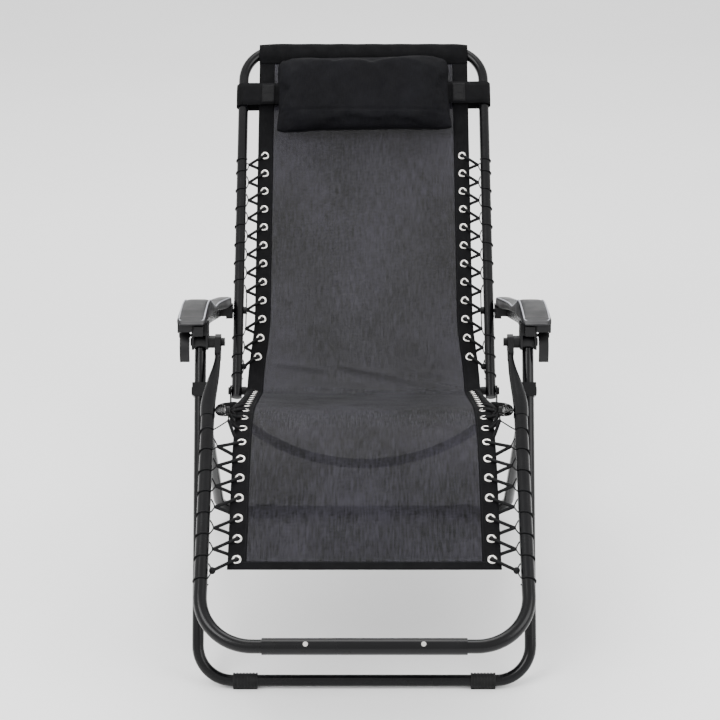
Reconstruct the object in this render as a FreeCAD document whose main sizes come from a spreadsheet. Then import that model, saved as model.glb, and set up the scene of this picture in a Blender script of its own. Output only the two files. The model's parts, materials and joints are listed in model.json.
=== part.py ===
import FreeCAD, Part
import math
import os

from FreeCAD import Placement, Rotation, Vector

# Zero gravity recliner, millimetres, +Z up. The sitter faces -Y and X runs from left to right.
# The side layout is measured from the arm pivot axis, which the front leg carries.

doc = FreeCAD.newDocument("Recliner")
sheet = doc.addObject("Spreadsheet::Sheet", "Sizes")
SIZES = {
    "LegTube": 22.0, "RestTube": 25.0, "Wall": 1.5, "CrossTube": 19.0,
    "PivotHeight": 575.0, "BackHalf": 270.0, "SideGap": 0.5, "LegStep": 20.0,
    "RestHalf": "=BackHalf + LegTube / 2 + RestTube / 2 + SideGap", "LegHalf": "=RestHalf + LegStep",
    "FrontReach": 315.0, "RearReach": 385.0, "FootBoreGap": 0.1, "FootWall": 3.4, "FootLength": 46.0,
    "FootRadius": "=LegTube / 2 + FootBoreGap + FootWall", "LegBend": 66.0,
    "FootPlace": "=LegHalf - LegBend - 24", "RearFootPlace": "=LegHalf - LegBend - 34", "SoleWidth": 16.0,
    "RestBend": 96.0, "BackBend": 78.0,
    "RestLean": 54.0, "RestLength": 630.0, "StrutLength": 165.0, "StrutTube": 27.5, "FlatThick": 11.0,
    "FlatWidth": 30.0, "FlatHalf": "=RestHalf - 14",
    "HipBack": 360.0, "HipDrop": 262.0, "BackLean": 44.0, "BackLength": 825.0, "ArmPivotUp": 185.0,
    "RailFront": 151.0, "RailHipDrop": 34.0, "RailHipBack": 12.0, "CrossBack": 100.0, "CrossBow": 121.0,
    "SlingThick": 3.0, "BackSlingInset": 35.0, "SeatSlingInset": 23.0,
    "BackSlingHalf": "=BackHalf - BackSlingInset", "SeatSlingHalf": "=BackHalf - SeatSlingInset",
    "HemLength": 480.0,
    "GrommetPitch": 43.6, "GrommetOuter": 9.0, "GrommetBore": 5.0, "GrommetThick": 1.4, "GrommetInset": 16.0,
    "BackGrommets": 12, "SeatGrommets": 18, "BackGrommetStart": 77.0, "CordThick": 5.0,
    "PillowWidth": 400.0, "PillowHeight": 176.0, "PillowDepth": 55.0, "PillowDown": 118.0,
    "StrapHeight": 54.0, "StrapThick": 2.0, "SoftGap": 0.4,
    "BoltRadius": 4.0, "BoltGap": 0.05, "OpenPivotGap": 3.0, "NutRadius": 8.0, "NutThick": 7.0,
    "PlateThick": 3.0, "PlateWidth": 24.0, "KnuckleRadius": 14.0, "CheekThick": 4.0,
    "HousingLength": 46.0, "ArmRailWide": 17.0, "ArmRailTall": 18.0, "ArmRailLift": 18.0, "ArmRailGap": 0.4,
    "ArmRailAhead": 52.0, "ArmRailBend": 150.0, "ArmRailDrop": 26.0, "ArmRailShort": 40.0,
    "ArmPadThick": 16.0, "ArmPadHalf": "=LegHalf + 41", "ArmPadInner": "=LegHalf - 15",
    "LeverThick": 18.0, "LeverLength": 50.0, "SleeveRadius": "=RestTube / 2 + 2.5", "SleeveLength": 363.0,
    "SleeveScrewSpan": 208.0, "RearPivotDown": 92.0, "RearPivotBehind": 27.0, "CapDepth": 14.0,
}
for row, (alias, value) in enumerate(SIZES.items(), start=1):
    sheet.set(f"A{row}", alias)
    sheet.set(f"B{row}", str(value))
    sheet.setAlias(f"B{row}", alias)
doc.recompute()


def size(alias):
    """Value of one driving cell."""
    return float(sheet.get(alias))


# ---- side layout, worked out from the driving cells -------------------------------------------------------
leg_r = size("LegTube") / 2
rest_r = size("RestTube") / 2
gap = size("SideGap")
rest_lean = math.radians(size("RestLean"))
back_lean = math.radians(size("BackLean"))
foot_reach = size("RestLength") * math.sin(rest_lean) + size("SleeveRadius")
top_reach = (size("HipBack") + size("BackLength") * math.sin(back_lean) + leg_r + size("SoftGap")
             + size("SlingThick") / 2)
AXIS_Y = (foot_reach - top_reach) / 2
AXIS_Z = size("PivotHeight")


def place(back, up):
    """Point of the side view, given back and up from the arm pivot axis, as (y, z) of the part."""
    return AXIS_Y + back, AXIS_Z + up


def at(x, back, up):
    """Point of the part from its x and its place in the side view."""
    y, z = place(back, up)
    return Vector(x, y, z)


HIP = (size("HipBack"), -size("HipDrop"))
ARM_PIVOT = (HIP[0] + size("ArmPivotUp") * math.sin(back_lean), HIP[1] + size("ArmPivotUp") * math.cos(back_lean))
RAIL_FRONT = (-size("RailFront") * math.sin(rest_lean), -size("RailFront") * math.cos(rest_lean))
RAIL_REAR = (HIP[0] - size("RailHipBack"), HIP[1] - size("RailHipDrop"))
FLOOR_BAR = size("FootRadius") - AXIS_Z
leg_lean = math.atan2(size("FrontReach"), -FLOOR_BAR)
REAR_PIVOT = (
    size("RearPivotBehind") * math.cos(leg_lean) - size("RearPivotDown") * math.sin(leg_lean),
    -size("RearPivotDown") * math.cos(leg_lean) - size("RearPivotBehind") * math.sin(leg_lean),
)
arm_slope = math.atan2(ARM_PIVOT[1], ARM_PIVOT[0])
arm_length = math.hypot(*ARM_PIVOT)
nodes = []


def keep(obj, label):
    """Names a finished sub-part."""
    obj.Label = label
    nodes.append(obj)
    return obj


def feature(label, shape):
    """A sub-part whose shape is made with Part's own functions."""
    obj = doc.addObject("Part::Feature", label)
    obj.Shape = shape
    return keep(obj, label)


def primitive(kind, name, placement, **bound):
    """A Part primitive whose sizes are bound to the sheet."""
    obj = doc.addObject(kind, name)
    for prop, expression in bound.items():
        obj.setExpression(prop, expression)
    obj.Placement = placement
    return obj


def along_x(x, back, up):
    """Placement that lays a cylinder's axis along +X, starting at x."""
    return Placement(at(x, back, up), Rotation(Vector(0, 1, 0), 90))


def pin(x, end, radius, back, up):
    """Solid cylinder along X between two x values."""
    start = min(x, end)
    return Part.makeCylinder(radius, abs(end - x), at(start, back, up), Vector(1, 0, 0))


def bolt_set(x_head, x_nut, back, up, head_depth=4.0):
    """Bolt along X: round head, shank and nut as one fastened solid."""
    step = 1 if x_nut > x_head else -1
    shank = pin(x_head, x_nut, size("BoltRadius"), back, up)
    head = pin(x_head - step * head_depth, x_head, size("NutRadius"), back, up)
    nut = pin(x_nut, x_nut + step * size("NutThick"), size("NutRadius"), back, up)
    return shank.fuse(head).fuse(nut).removeSplitter()


def sweep(path, radius, start, direction):
    """Round bar of one radius swept along a wire."""
    ring = Part.Wire(Part.makeCircle(radius, start, direction))
    return Part.Wire(path).makePipeShell([ring], True, False)


def hollow(path, radius, wall, start, direction):
    """Round tube with a wall, swept along a wire."""
    return sweep(path, radius, start, direction).cut(sweep(path, radius - wall, start, direction))


def u_path(half, length, bend, start):
    """U of two legs and a cross bar in the local XZ plane, legs running down from z = -start."""
    lower = -length
    knee = lower + bend
    slant = bend * math.sin(math.pi / 4)
    left_bend = Vector(-half + bend, 0, knee)
    right_bend = Vector(half - bend, 0, knee)
    return [
        Part.LineSegment(Vector(-half, 0, -start), Vector(-half, 0, knee)).toShape(),
        Part.Arc(Vector(-half, 0, knee), left_bend + Vector(-slant, 0, -slant),
                 Vector(-half + bend, 0, lower)).toShape(),
        Part.LineSegment(Vector(-half + bend, 0, lower), Vector(half - bend, 0, lower)).toShape(),
        Part.Arc(Vector(half - bend, 0, lower), right_bend + Vector(slant, 0, -slant),
                 Vector(half, 0, knee)).toShape(),
        Part.LineSegment(Vector(half, 0, knee), Vector(half, 0, -start)).toShape(),
    ]


def u_frame(half, length, bend, radius, start, turn, pivot):
    """Bent U tube, turned about X and hung from a point of the side view."""
    path = u_path(half, length, bend, start)
    tube = hollow(path, radius, size("Wall"), Vector(-half, 0, -start), Vector(0, 0, -1))
    tube.Placement = Placement(at(0, *pivot), Rotation(Vector(1, 0, 0), turn))
    return tube


def straight_tube(x, start, end, radius, wall):
    """Straight tube between two points of the side view."""
    first = at(x, *start)
    run = at(x, *end) - first
    outer = Part.makeCylinder(radius, run.Length, first, run)
    return outer.cut(Part.makeCylinder(radius - wall, run.Length, first, run))


def side_solid(outline, x_from, x_to):
    """Solid of a closed side outline, extruded between two x values."""
    face = Part.Face(Part.Wire(outline))
    face.translate(Vector(x_from, 0, 0))
    return face.extrude(Vector(x_to - x_from, 0, 0))


def strip(points, thickness):
    """Closed outline of a thin strip about a side-view line of points."""
    normals = []
    for index, point in enumerate(points):
        before = points[max(index - 1, 0)]
        after = points[min(index + 1, len(points) - 1)]
        run = (after - before).normalize()
        normals.append(Vector(0, -run.z, run.y))
    upper = [p + n * (thickness / 2) for p, n in zip(points, normals)]
    lower = [p - n * (thickness / 2) for p, n in zip(points, normals)]
    return Part.makePolygon(upper + lower[::-1] + [upper[0]])


def sides():
    """Right and left, with the side's name and sign."""
    return (("right", 1), ("left", -1))


def mirrored(shape, sign):
    """The shape itself on the right, its mirror image on the left."""
    return shape if sign > 0 else shape.mirror(Vector(0, 0, 0), Vector(1, 0, 0))


# ---- base: front leg, rear leg, feet and their pivot ------------------------------------------------------
leg_length = math.hypot(size("FrontReach"), FLOOR_BAR)
leg_start = size("KnuckleRadius") - 1
feature("front_leg", u_frame(size("LegHalf"), leg_length, size("LegBend"), leg_r, leg_start,
                             -math.degrees(leg_lean), (0, 0)))
rear_run = (size("RearReach") - REAR_PIVOT[0], FLOOR_BAR - REAR_PIVOT[1])
rear_length = math.hypot(*rear_run)
rear_turn = math.degrees(math.atan2(rear_run[0], -rear_run[1]))
eye_drop = 30.0
feature("rear_leg", u_frame(size("LegHalf"), rear_length, size("LegBend"), leg_r, eye_drop,
                            rear_turn, REAR_PIVOT))


def rubber_foot(x, reach):
    """Ribbed rubber sleeve round a floor bar, with a flat sole."""
    length = size("FootLength")
    rib = length / 15
    start = at(x - length / 2, reach, FLOOR_BAR)
    body = Part.makeCylinder(size("FootRadius") - 1.2, length, start, Vector(1, 0, 0))
    for index in range(8):
        ring = Part.makeCylinder(size("FootRadius"), rib, start + Vector(index * 2 * rib, 0, 0), Vector(1, 0, 0))
        body = body.fuse(ring)
    sole = Part.makeBox(length, size("SoleWidth"), size("FootRadius") - leg_r + 1)
    sole.translate(Vector(start.x, start.y - size("SoleWidth") / 2, 0))
    bore = Part.makeCylinder(leg_r + size("FootBoreGap"), length, start, Vector(1, 0, 0))
    return body.fuse(sole).cut(bore).removeSplitter()


front_feet = [rubber_foot(sign * size("FootPlace"), -size("FrontReach")) for _, sign in sides()]
rear_feet = [rubber_foot(sign * size("RearFootPlace"), size("RearReach")) for _, sign in sides()]
for (side, _), foot in zip(sides(), front_feet):
    feature(f"front_foot_{side}", foot)
for (side, _), foot in zip(sides(), rear_feet):
    feature(f"rear_foot_{side}", foot)

flat_r = size("BoltRadius") + size("BoltGap")
for side, sign in sides():
    # Flattened eye at the top of the rear leg.
    eye = Part.makeCylinder(leg_r, 8.0, Vector(-4, 0, 0), Vector(1, 0, 0))
    web = Part.makeBox(8.0, leg_r * 2, eye_drop)
    web.translate(Vector(-4, -leg_r, -eye_drop))
    eye = eye.fuse(web).cut(Part.makeCylinder(flat_r, 8.0, Vector(-4, 0, 0), Vector(1, 0, 0)))
    eye.Placement = Placement(at(sign * size("LegHalf"), *REAR_PIVOT), Rotation(Vector(1, 0, 0), rear_turn))
    feature(f"rear_leg_eye_{side}", eye.removeSplitter())

    # Saddle bracket round the front leg, whose two ears hold the eye.
    wide = size("PlateThick")
    inner = leg_r + 0.3
    ear = Part.makeBox(wide, 44.0, 26.0)
    ears = []
    for edge in (-inner - wide, inner):
        plate = ear.copy()
        plate.translate(Vector(edge, -leg_r - 3, -size("RearPivotDown") - 13))
        ears.append(plate)
    front = Part.makeBox(2 * (inner + wide), wide, 26.0)
    front.translate(Vector(-inner - wide, -leg_r - 0.3 - wide, -size("RearPivotDown") - 13))
    saddle = ears[0].fuse(ears[1]).fuse(front)
    bore = Part.makeCylinder(flat_r, 60.0, Vector(-30, size("RearPivotBehind"), -size("RearPivotDown")),
                             Vector(1, 0, 0))
    saddle = saddle.cut(bore)
    saddle.Placement = Placement(at(sign * size("LegHalf"), 0, 0),
                                 Rotation(Vector(1, 0, 0), -math.degrees(leg_lean)))
    feature(f"rear_pivot_bracket_{side}", saddle.removeSplitter())
    outer_face = size("LegHalf") + inner + wide
    inner_face = size("LegHalf") - inner - wide
    feature(f"rear_pivot_bolt_{side}", bolt_set(sign * outer_face, sign * inner_face, *REAR_PIVOT))

# ---- seat and leg rest ------------------------------------------------------------------------------------
strut_r = size("StrutTube") / 2
feature("legrest_frame", u_frame(size("RestHalf"), size("RestLength"), size("RestBend"), rest_r,
                                 size("StrutLength"), -size("RestLean"), (0, 0)))
rivets, knee_bolts = [], []
for side, sign in sides():
    # Upper strut: a round socket end that narrows to a flattened eye on the pivot bolt.
    shift = size("FlatHalf") - size("RestHalf")
    rings = []
    for down, squeeze, offset in ((size("StrutLength"), 1.0, 0.0), (132.0, 1.0, 0.0), (98.0, 0.86, 0.35),
                                  (60.0, 0.55, 0.85), (30.0, 0.4, 1.0)):
        ring = Part.makeCircle(strut_r, Vector(0, 0, 0), Vector(0, 0, 1)).toNurbs()
        matrix = FreeCAD.Matrix()
        matrix.scale(squeeze, 1 + 0.1 * (1 - squeeze), 1)
        ring = ring.transformGeometry(matrix)
        ring.translate(Vector(offset * shift, 0, -down))
        rings.append(Part.Wire(ring.Edges))
    body = Part.makeLoft(rings, True, False)
    end = Part.makeCylinder(size("FlatWidth") / 2, size("FlatThick"),
                            Vector(shift - size("FlatThick") / 2, 0, 0), Vector(1, 0, 0))
    web = Part.makeBox(size("FlatThick"), size("FlatWidth"), 34.0)
    web.translate(Vector(shift - size("FlatThick") / 2, -size("FlatWidth") / 2, -34.0))
    eye_bore = Part.makeCylinder(flat_r, 40.0, Vector(shift - 20, 0, 0), Vector(1, 0, 0))
    strut = body.fuse(end).fuse(web).cut(eye_bore)
    strut = mirrored(strut, sign)
    strut.Placement = Placement(at(sign * size("RestHalf"), 0, 0), Rotation(Vector(1, 0, 0), -size("RestLean")))
    feature(f"legrest_strut_{side}", strut)

    rail = straight_tube(sign * size("BackHalf"), RAIL_REAR, RAIL_FRONT, leg_r, size("Wall"))
    feature(f"seat_rail_{side}", rail)

    # Hip plate on the outer face of the seat rail and of the back tube.
    plate_x = size("BackHalf") + leg_r + gap / 2
    half = size("PlateWidth") / 2
    low = at(0, *RAIL_REAR)
    high = at(0, *HIP)
    run = (high - low).normalize()
    across = Vector(0, -run.z, run.y) * half
    outline = [
        Part.LineSegment(low + across, high + across).toShape(),
        Part.Arc(high + across, high + run * half, high - across).toShape(),
        Part.LineSegment(high - across, low - across).toShape(),
        Part.Arc(low - across, low - run * half, low + across).toShape(),
    ]
    plate = side_solid(outline, plate_x, plate_x + size("PlateThick"))
    plate = plate.cut(pin(0, 400, flat_r, *HIP))
    feature(f"hip_plate_{side}", mirrored(plate, sign))
    rivet = pin(plate_x + size("PlateThick"), plate_x + size("PlateThick") + 3, 7, *RAIL_REAR)
    rivets.append(mirrored(rivet, sign))
    inner = size("BackHalf") - leg_r
    knee_bolts.append(mirrored(pin(inner - 6, inner, 7.5, *RAIL_FRONT), sign))
feature("hip_rivets", Part.makeCompound(rivets))
feature("knee_bolts", Part.makeCompound(knee_bolts))

# Bowed cross tube under the seat.
rail_slope = (RAIL_REAR[1] - RAIL_FRONT[1]) / (RAIL_REAR[0] - RAIL_FRONT[0])
cross_up = RAIL_FRONT[1] + rail_slope * (size("CrossBack") - RAIL_FRONT[0])
ends = [at(sign * size("BackHalf"), size("CrossBack"), cross_up) for sign in (-1, 1)]
bow = at(0, size("CrossBack"), cross_up - size("CrossBow"))
arc = Part.Arc(ends[0], bow, ends[1])
tangent = arc.tangent(arc.FirstParameter)[0]
cross = hollow([arc.toShape()], size("CrossTube") / 2, size("Wall"), ends[0], tangent)
for sign in (-1, 1):
    first = at(sign * size("BackHalf"), *RAIL_REAR)
    run = at(sign * size("BackHalf"), *RAIL_FRONT) - first
    room = Part.makeCylinder(leg_r + 0.05, run.Length, first, run)
    cross = cross.cut(room)
    block = Part.makeBox(60, 200, 200)
    block.translate(ends[(sign + 1) // 2] + Vector(0 if sign > 0 else -60, -100, -100))
    cross = cross.cut(block)
feature("seat_cross_tube", max(cross.Solids, key=lambda solid: solid.Volume))

# Joining sleeve of the foot bar, with its two screws.
foot = (-size("RestLength") * math.sin(rest_lean), -size("RestLength") * math.cos(rest_lean))
sleeve = primitive("Part::Cylinder", "SleeveOuter", along_x(-size("SleeveLength") / 2, *foot),
                   Radius="Sizes.SleeveRadius", Height="Sizes.SleeveLength")
bore = primitive("Part::Cylinder", "SleeveBore", along_x(-size("SleeveLength") / 2, *foot),
                 Radius="Sizes.RestTube / 2 + 0.1", Height="Sizes.SleeveLength")
cut = doc.addObject("Part::Cut", "SleeveCut")
cut.Base = sleeve
cut.Tool = bore
keep(cut, "foot_bar_sleeve")
screws = []
screw_sit = 0.05
for _, sign in sides():
    base = at(sign * size("SleeveScrewSpan") / 2, *foot)
    out = Vector(0, -0.7, 0.71).normalize()
    screws.append(Part.makeCylinder(4.5, 2.2, base + out * (size("SleeveRadius") + screw_sit), out))
feature("foot_bar_screws", Part.makeCompound(screws))

# ---- back frame -------------------------------------------------------------------------------------------
end_drop = 12.0
feature("back_frame", u_frame(size("BackHalf"), size("BackLength"), size("BackBend"), leg_r,
                              -end_drop, 180 - size("BackLean"), HIP)
        .cut(pin(-400, 400, flat_r, *HIP)).cut(pin(-400, 400, flat_r, *ARM_PIVOT)))
up_back = Vector(0, math.sin(back_lean), math.cos(back_lean))
for side, sign in sides():
    base = at(sign * size("BackHalf"), *HIP) - up_back * (end_drop + 3)
    cap = Part.makeCylinder(leg_r, 3, base, up_back)
    feature(f"back_end_cap_{side}", cap)
    outer = size("BackHalf") + leg_r + gap / 2 + size("PlateThick")
    inner = size("BackHalf") - leg_r
    hip_bolt = bolt_set(sign * outer, sign * (inner - 9), *HIP).fuse(pin(sign * inner, sign * (inner - 9), 9, *HIP))
    feature(f"hip_bolt_{side}", hip_bolt.removeSplitter())

# ---- arm assemblies, in the frame of the sloping rail -----------------------------------------------------
slope = Rotation(Vector(1, 0, 0), math.degrees(arm_slope))
arm_frame = Placement(at(0, 0, 0), slope)
rail_in = size("LegHalf") - size("ArmRailWide") / 2
rail_out = size("LegHalf") + size("ArmRailWide") / 2
rail_low = size("ArmRailLift")
rail_top = rail_low + size("ArmRailTall")
cheek_in = size("LegHalf") - leg_r - gap
cheek_out = size("LegHalf") + leg_r + gap


def local_box(x_from, x_to, y_from, y_to, z_from, z_to):
    """Box given by its corners."""
    box = Part.makeBox(x_to - x_from, y_to - y_from, z_to - z_from)
    box.translate(Vector(x_from, y_from, z_from))
    return box


def local_pin(x_from, x_to, y, z, radius):
    """Cylinder along X in the arm's own frame."""
    return Part.makeCylinder(radius, x_to - x_from, Vector(x_from, y, z), Vector(1, 0, 0))


def side_prism(x_from, x_to, outline):
    """Solid between two x values from a closed side outline of (y, z) points in the arm's own frame."""
    corners = [Vector(x_from, y, z) for y, z in outline]
    return Part.Face(Part.makePolygon(corners + corners[:1])).extrude(Vector(x_to - x_from, 0, 0))


def bent_rail(low, top):
    """Side outline of the rail: level through the housing, then dropping to its rear end."""
    ahead, bend, end = -size("ArmRailAhead"), size("ArmRailBend"), arm_length - size("ArmRailShort")
    drop = size("ArmRailDrop")
    return [(ahead, low), (bend, low), (end, low - drop), (end, top - drop), (bend, top), (ahead, top)]


def arm_feature(label, shape, sign):
    """Puts a shape of the right arm's frame on its side of the part."""
    body = mirrored(shape, sign)
    body.Placement = arm_frame
    return feature(label, body)


slack = size("ArmRailGap")
half_house = size("HousingLength") / 2
for side, sign in sides():
    # Knuckle that closes the front leg's top and carries the pivot bolt.
    knuckle = local_pin(size("LegHalf") - leg_r, size("LegHalf") + leg_r, 0, 0, size("KnuckleRadius"))
    knuckle = knuckle.cut(local_pin(0, 400, 0, 0, flat_r))
    leg_top = Part.makeCylinder(leg_r + 0.1, 20, Vector(size("LegHalf"), 0, -leg_start - 20), Vector(0, 0, 1))
    leg_top.Placement = Placement(Vector(0, 0, 0), Rotation(Vector(1, 0, 0), -math.degrees(leg_lean)
                                                            - math.degrees(arm_slope)))
    arm_feature(f"leg_knuckle_{side}", knuckle.cut(leg_top), sign)

    # Lock housing: two cheeks beside the knuckle and a bridge with the rail's channel.
    cheek = size("CheekThick")
    house = local_box(cheek_in - cheek, cheek_out + cheek, -half_house, half_house, -13, rail_top + 3)
    house = house.makeFillet(3, [e for e in house.Edges if abs(e.tangentAt(e.FirstParameter).x) > 0.9])
    slot = local_box(cheek_in, cheek_out, -half_house - 1, half_house + 1, -20, size("KnuckleRadius") + 1)
    channel = local_box(rail_in - slack, rail_out + slack, -half_house - 1, half_house + 1,
                        rail_low - slack, rail_top + slack)
    house = house.cut(slot).cut(channel).cut(local_pin(0, 400, 0, 0, flat_r))
    arm_feature(f"lock_housing_{side}", house, sign)

    stub_from = size("FlatHalf") + size("FlatThick") / 2 + 0.2
    stub = local_pin(stub_from, cheek_in - cheek - 0.2, 0, 0, 12).cut(local_pin(0, 400, 0, 0, flat_r))
    arm_feature(f"pivot_stub_{side}", stub, sign)
    inboard = size("FlatHalf") - size("FlatThick") / 2 - 0.2
    feature(f"arm_pivot_bolt_{side}",
            bolt_set(sign * (cheek_out + cheek + 0.3), sign * inboard, 0, 0, 3.0))

    # Sliding rail with its front cap and its rear bracket on the back tube.
    rail_end = arm_length - size("ArmRailShort")
    tail_low, tail_top = rail_low - size("ArmRailDrop"), rail_top - size("ArmRailDrop")
    bar = side_prism(rail_in, rail_out, bent_rail(rail_low, rail_top))
    bar = bar.cut(side_prism(rail_in + 1.5, rail_out - 1.5, bent_rail(rail_low + 1.5, rail_top - 1.5)))
    arm_feature(f"arm_rail_{side}", bar, sign)
    cap = local_box(rail_in - 0.6, rail_out + 0.6, -size("ArmRailAhead") - 4, -size("ArmRailAhead"),
                    rail_low - 0.6, rail_top + 0.6)
    arm_feature(f"arm_rail_cap_{side}", cap.makeFillet(1.2, cap.Edges), sign)
    tail_x = size("BackHalf") + leg_r + 1.5
    tail = local_box(tail_x, tail_x + 14, arm_length - 16, arm_length + 16, -16, tail_top + 4)
    tail = tail.fuse(local_box(tail_x, rail_out, rail_end, arm_length - 12, tail_low, tail_top))
    tail = tail.cut(local_pin(0, 400, arm_length, 0, size("BoltRadius") + size("OpenPivotGap")))
    arm_feature(f"arm_rear_bracket_{side}", tail.removeSplitter(), sign)
    feature(f"arm_rear_bolt_{side}", bolt_set(sign * (tail_x + 14 + 1), sign * (size("BackHalf") - leg_r),
                                              *ARM_PIVOT))

    # Moulded pad: a waved side outline cut to a plan that narrows towards the back.
    ahead = -size("ArmRailAhead") - 12
    pad_low = rail_top + 4
    thick = size("ArmPadThick")
    wave = [(ahead, rail_top + 8), (ahead + 12, rail_top + thick - 1), (-4, rail_top + thick + 10),
            (60, rail_top + thick + 19), (115, rail_top + thick + 17), (size("ArmRailBend") + 30, rail_top + thick + 2),
            (250, rail_top + thick - 11), (320, tail_top + thick + 13), (395, tail_top + thick + 12),
            (arm_length - 40, tail_top + thick + 8), (arm_length + 10, tail_top + thick - 2)]
    top = Part.BSplineCurve()
    top.interpolate([Vector(0, y, z) for y, z in wave])
    under = [(arm_length + 10, tail_top + 5), (rail_end, tail_top + 5), (330, tail_top + 15),
             (size("ArmRailBend") + 10, pad_low), (ahead + 4, pad_low)]
    lower = [Vector(0, *wave[-1])] + [Vector(0, y, z) for y, z in under] + [Vector(0, *wave[0])]
    outline = [top.toShape()] + [Part.LineSegment(a, b).toShape() for a, b in zip(lower, lower[1:])]
    profile = side_solid(outline, 200, 400)
    inner_x = size("ArmPadInner")
    outer_x = size("ArmPadHalf")
    plan = Part.makePolygon([
        Vector(inner_x, ahead - 5, -50), Vector(outer_x - 10, ahead - 5, -50), Vector(outer_x, ahead + 14, -50),
        Vector(outer_x - 2, 150, -50), Vector(outer_x - 22, 320, -50), Vector(tail_x + 20, arm_length + 30, -50),
        Vector(tail_x, arm_length + 30, -50), Vector(tail_x, arm_length - 60, -50), Vector(inner_x, 330, -50),
        Vector(inner_x, ahead - 5, -50)])
    pad = profile.common(Part.Face(plan).extrude(Vector(0, 0, 200)))
    rib_start = size("HousingLength") * 1.5
    saddle = [(rib_start, rail_top), (size("ArmRailBend"), rail_top), (rail_end, tail_top), (rail_end, tail_top + 6),
              (330, tail_top + 16), (size("ArmRailBend") + 10, pad_low + 1), (rib_start, pad_low + 1)]
    saddle_rib = side_prism(rail_in, rail_out, saddle)
    skirt = local_box(outer_x - 6, outer_x - 1.5, ahead + 12, 140, rail_top - 12, pad_low + 2)
    lip = local_box(rail_out + 4, outer_x - 6, ahead + 4, ahead + 9, rail_top - 10, pad_low + 2)
    corner_post = local_box(outer_x - 12, outer_x - 5.5, ahead + 8, ahead + 16, rail_top - 10, pad_low + 2)
    pad = pad.fuse(saddle_rib).fuse(skirt).fuse(lip).fuse(corner_post).removeSplitter()
    arm_feature(f"arm_pad_{side}", pad, sign)

    # Lock lever: a curved fin on a pin outside the housing.
    lever_x = cheek_out + cheek + 4.5
    drop = size("LeverLength")
    hub = local_pin(lever_x, lever_x + size("LeverThick"), -10, 14, 9)
    fin_path = [
        Part.Arc(Vector(0, -18, 18), Vector(0, -30, -8), Vector(0, -24, 14 - drop)).toShape(),
        Part.LineSegment(Vector(0, -24, 14 - drop), Vector(0, -12, 14 - drop)).toShape(),
        Part.Arc(Vector(0, -12, 14 - drop), Vector(0, -14, -10), Vector(0, -3, 10)).toShape(),
        Part.LineSegment(Vector(0, -3, 10), Vector(0, -18, 18)).toShape(),
    ]
    fin = side_solid(fin_path, lever_x, lever_x + size("LeverThick"))
    lever = hub.fuse(fin).cut(local_pin(0, 400, -10, 14, 3 + size("BoltGap")))
    arm_feature(f"lock_lever_{side}", lever.removeSplitter(), sign)
    lever_pin = local_pin(cheek_out + cheek, lever_x + size("LeverThick") + 0.3, -10, 14, 3)
    lever_pin = lever_pin.fuse(local_pin(lever_x + size("LeverThick") + 0.3, lever_x + size("LeverThick") + 2,
                                         -10, 14, 5))
    arm_feature(f"lever_pin_{side}", lever_pin, sign)

# ---- sling, grommets and lacing ---------------------------------------------------------------------------
slab = size("SlingThick")
soft = size("SoftGap")
back_start = 32.0
bend_room = size("BackBend") - leg_r - soft
corner = size("BackSlingHalf") - (size("BackHalf") - size("BackBend"))
back_end = size("BackLength") - size("BackBend") + math.sqrt(bend_room ** 2 - corner ** 2) - 1
hip = at(0, *HIP)
back_line = [hip + up_back * back_start, hip + up_back * back_end]
top_half = size("BackHalf") - size("BackBend") - 2
bar = hip + up_back * size("BackLength")
tongue_line = [back_line[1] - up_back * 1, bar - up_back * (leg_r + soft + slab / 2)]
tongue = side_solid([strip(tongue_line, slab)], -top_half, top_half)
pocket = Part.makeCylinder(leg_r + soft + slab / 2, 2 * top_half, bar - Vector(top_half, 0, 0), Vector(1, 0, 0))
pocket = pocket.cut(Part.makeCylinder(leg_r + soft, 2 * top_half, bar - Vector(top_half, 0, 0), Vector(1, 0, 0)))
slab_back = side_solid([strip(back_line, slab)], -size("BackSlingHalf"), size("BackSlingHalf"))
feature("sling_back", slab_back.fuse(tongue).fuse(pocket).removeSplitter())
rest_dir = Vector(0, -math.sin(rest_lean), -math.cos(rest_lean))
seat_end = at(0, HIP[0] - 28, HIP[1] + 10)
knee = at(0, RAIL_FRONT[0] + 24, RAIL_FRONT[1] - 16)
hem = at(0, 0, 0) + rest_dir * size("HemLength")
knee_curve = Part.BezierCurve()
knee_curve.setPoles([knee + (seat_end - knee) * 0.34, knee, knee + (hem - knee) * 0.42])
seat_line = [seat_end] + [knee_curve.value(i / 8) for i in range(9)] + [hem]
feature("sling_seat", side_solid([strip(seat_line, slab)], -size("SeatSlingHalf"), size("SeatSlingHalf")))


def along(line, distance):
    """Point and direction at a distance along a line of points."""
    for first, second in zip(line, line[1:]):
        run = second - first
        if distance <= run.Length or second is line[-1]:
            return first + run * (distance / run.Length), Vector(run).normalize()
        distance -= run.Length


def grommet(x, point, run):
    """Ring on the front face of the sling."""
    out = Vector(0, -run.z, run.y)
    if out.y > 0 or (abs(out.y) < 0.7 and out.z < 0):
        out = -out
    base = point + out * (slab / 2) + Vector(x, 0, 0)
    ring = Part.makeCylinder(size("GrommetOuter"), size("GrommetThick"), base, out)
    return ring.cut(Part.makeCylinder(size("GrommetBore"), size("GrommetThick"), base, out))


def lace(edge_x, edge_point, tube_x, tube_point):
    """One straight run of elastic cord from the sling's edge to its tube."""
    start = Vector(edge_x, edge_point.y, edge_point.z)
    run = Vector(tube_x, tube_point.y, tube_point.z) - start
    return Part.makeCylinder(size("CordThick") / 2, run.Length, start, run)


lace_near, lace_far = 3.5, 10.0


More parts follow.
